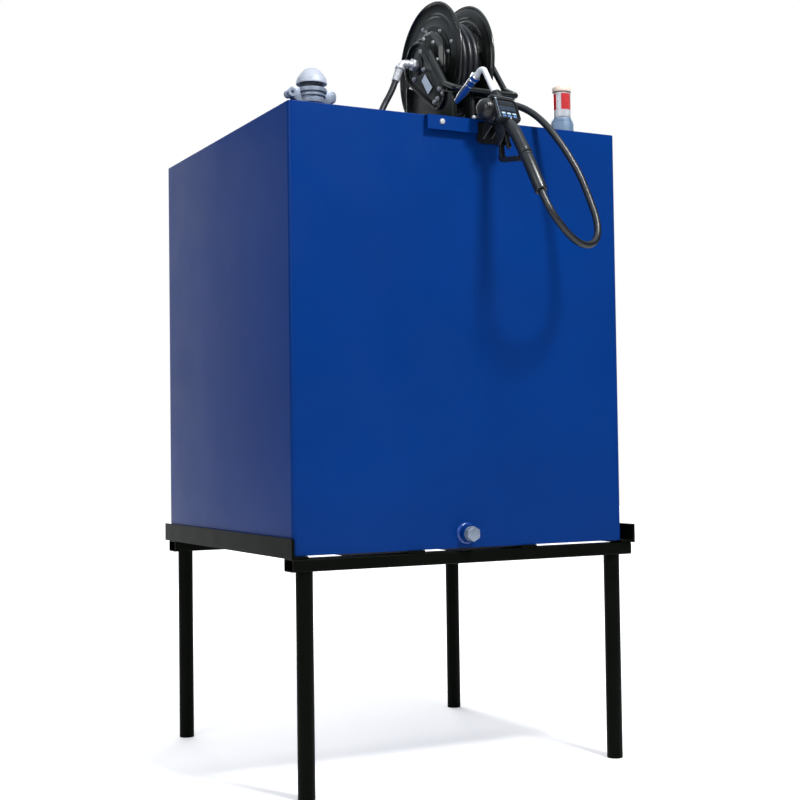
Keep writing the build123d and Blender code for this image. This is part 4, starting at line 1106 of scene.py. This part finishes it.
finish_nodes(
    tank_paint,
    "tank_front_wall", "tank_rear_wall", "tank_left_wall", "tank_right_wall", "tank_floor", "tank_lid",
    "fill_socket", "drain_socket", "gun_bracket",
)
finish_nodes(stand_paint, *[name for name in node if name.startswith(("stand_", "cross_beam"))])
finish_nodes(
    reel_paint,
    "reel_base", "reel_arm_left", "reel_arm_right", "reel_disc_left", "reel_disc_right", "reel_core",
    "spring_case", "guide_bar", "guide_frame",
)
finish_nodes(zinc, "reel_shaft", "reel_swivel", "supply_tail", "drain_plug", "nozzle_nut")
finish_nodes(
    cast_aluminium,
    "vent_adapter", "vent_coupler", "cam_lever_left", "cam_lever_right", "vent_strainer", "vent_dome",
)
finish_nodes(chrome, "gun_spout", "gun_nozzle")
finish_nodes(
    black_plastic,
    "guide_rollers", "trigger_guard", "gun_trigger", "gun_meter", "meter_cover", "display_housing",
    "gun_holder",
)
finish_nodes(grip_rubber, "gun_grip", "hose_sleeve")
finish_nodes(grey_plastic, "gauge_base")
finish_nodes(cap_plastic, "gauge_cap", "gauge_scale")
finish_nodes(clear_tube, "gauge_tube")


# Floor, background and light
def make_floor():
    """A pale floor that fades to white and keeps the object's shadow."""
    shape = bmesh.new()
    bmesh.ops.create_grid(shape, x_segments=8, y_segments=8, size=14.0)
    mesh = bpy.data.meshes.new("floor")
    shape.to_mesh(mesh)
    shape.free()
    floor = bpy.data.objects.new("floor", mesh)
    floor.location.z = -0.0005
    bpy.context.scene.collection.objects.link(floor)
    pale = Finish("pale_floor").set(Roughness=0.9, Specular_IOR_Level=0.1)
    pale.colour(pale.blend(pale.noise(0.6), srgb(246, 246, 246), srgb(252, 252, 252)))
    seen = pale.nodes.new("ShaderNodeLightPath").outputs["Is Camera Ray"]
    away = pale.nodes.new("ShaderNodeVectorMath")
    away.operation = "LENGTH"
    pale.links.new(pale.place, away.inputs[0])
    paler = pale.ramp(away.outputs["Value"], 1.0, 4.0, 0.3, 1.0)
    pale.shader.inputs["Emission Color"].default_value = (1, 1, 1, 1)
    pale.links.new(pale.sum("MULTIPLY", seen, paler), pale.shader.inputs["Emission Strength"])
    mesh.materials.append(pale.material)


def make_world():
    """White where the camera looks, a plain room for light, and a sky that shiny things mirror."""
    world = bpy.data.worlds.new("studio")
    bpy.context.scene.world = world
    world.use_nodes = True
    nodes, links = world.node_tree.nodes, world.node_tree.links
    nodes.clear()

    def background(colour, strength):
        made = nodes.new("ShaderNodeBackground")
        made.inputs["Color"].default_value = (*colour, 1)
        made.inputs["Strength"].default_value = strength
        return made

    def mixed(amount, one, two):
        mix = nodes.new("ShaderNodeMixShader")
        for socket, value in zip(mix.inputs, (amount, one, two)):
            links.new(value, socket)
        return mix.outputs[0]

    room = background((0.9, 0.94, 1.0), 0.5)
    sky = background((0.86, 0.94, 1.0), 1)
    white = background((1, 1, 1), 1)
    # The mirrored sky is brightest overhead, a little towards the back, and dark near the horizon
    aim = nodes.new("ShaderNodeVectorMath")
    aim.operation = "DOT_PRODUCT"
    aim.inputs[1].default_value = Vector((-0.1, 0.3, 1.0)).normalized()
    links.new(nodes.new("ShaderNodeTexCoord").outputs["Generated"], aim.inputs[0])
    spread = nodes.new("ShaderNodeMapRange")
    for socket, number in zip(spread.inputs[1:5], (0.42, 0.9, 0.02, 1.1)):
        socket.default_value = number
    links.new(aim.outputs["Value"], spread.inputs[0])
    links.new(spread.outputs[0], sky.inputs["Strength"])
    path = nodes.new("ShaderNodeLightPath")
    either = nodes.new("ShaderNodeMath")
    either.operation = "MAXIMUM"
    links.new(path.outputs["Is Camera Ray"], either.inputs[0])
    links.new(path.outputs["Is Transmission Ray"], either.inputs[1])
    shone = mixed(path.outputs["Is Glossy Ray"], room.outputs[0], sky.outputs[0])
    seen_through = mixed(either.outputs[0], shone, white.outputs[0])
    links.new(seen_through, nodes.new("ShaderNodeOutputWorld").inputs["Surface"])


def make_lamps():
    """Three square lamps aimed at the object's middle, each with its way, distance, size and watts."""
    for name, way, distance, size, power in (
        ("key_light", (0.12, -0.65, 0.69), 4.6, 0.7, 212),
        ("left_light", (-0.85, -0.5, 0.4), 5.0, 2.6, 70),
        ("back_light", (0.2, 0.9, 0.6), 5.0, 2.4, 110),
    ):
        data = bpy.data.lights.new(name, "AREA")
        data.size = size
        data.energy = power
        lamp = bpy.data.objects.new(name, data)
        towards = Vector(way).normalized()
        lamp.location = Vector((0, 0, 1.3)) + towards * distance
        lamp.rotation_euler = towards.to_track_quat("Z", "Y").to_euler()
        bpy.context.scene.collection.objects.link(lamp)


def make_side_panel():
    """A tall dim panel behind on the left, which the far half of the left wall mirrors."""
    data = bpy.data.lights.new("side_panel", "AREA")
    data.shape = "RECTANGLE"
    data.size, data.size_y = 0.8, 2.3
    data.energy = 7
    panel = bpy.data.objects.new("side_panel", data)
    panel.location = on_tank(-230, 2500, 550)
    panel.rotation_euler = (radians(-90), 0, radians(13))
    panel.visible_camera = False
    bpy.context.scene.collection.objects.link(panel)


make_floor()
make_world()
make_lamps()
make_side_panel()
bpy.context.scene.view_settings.view_transform = "Standard"
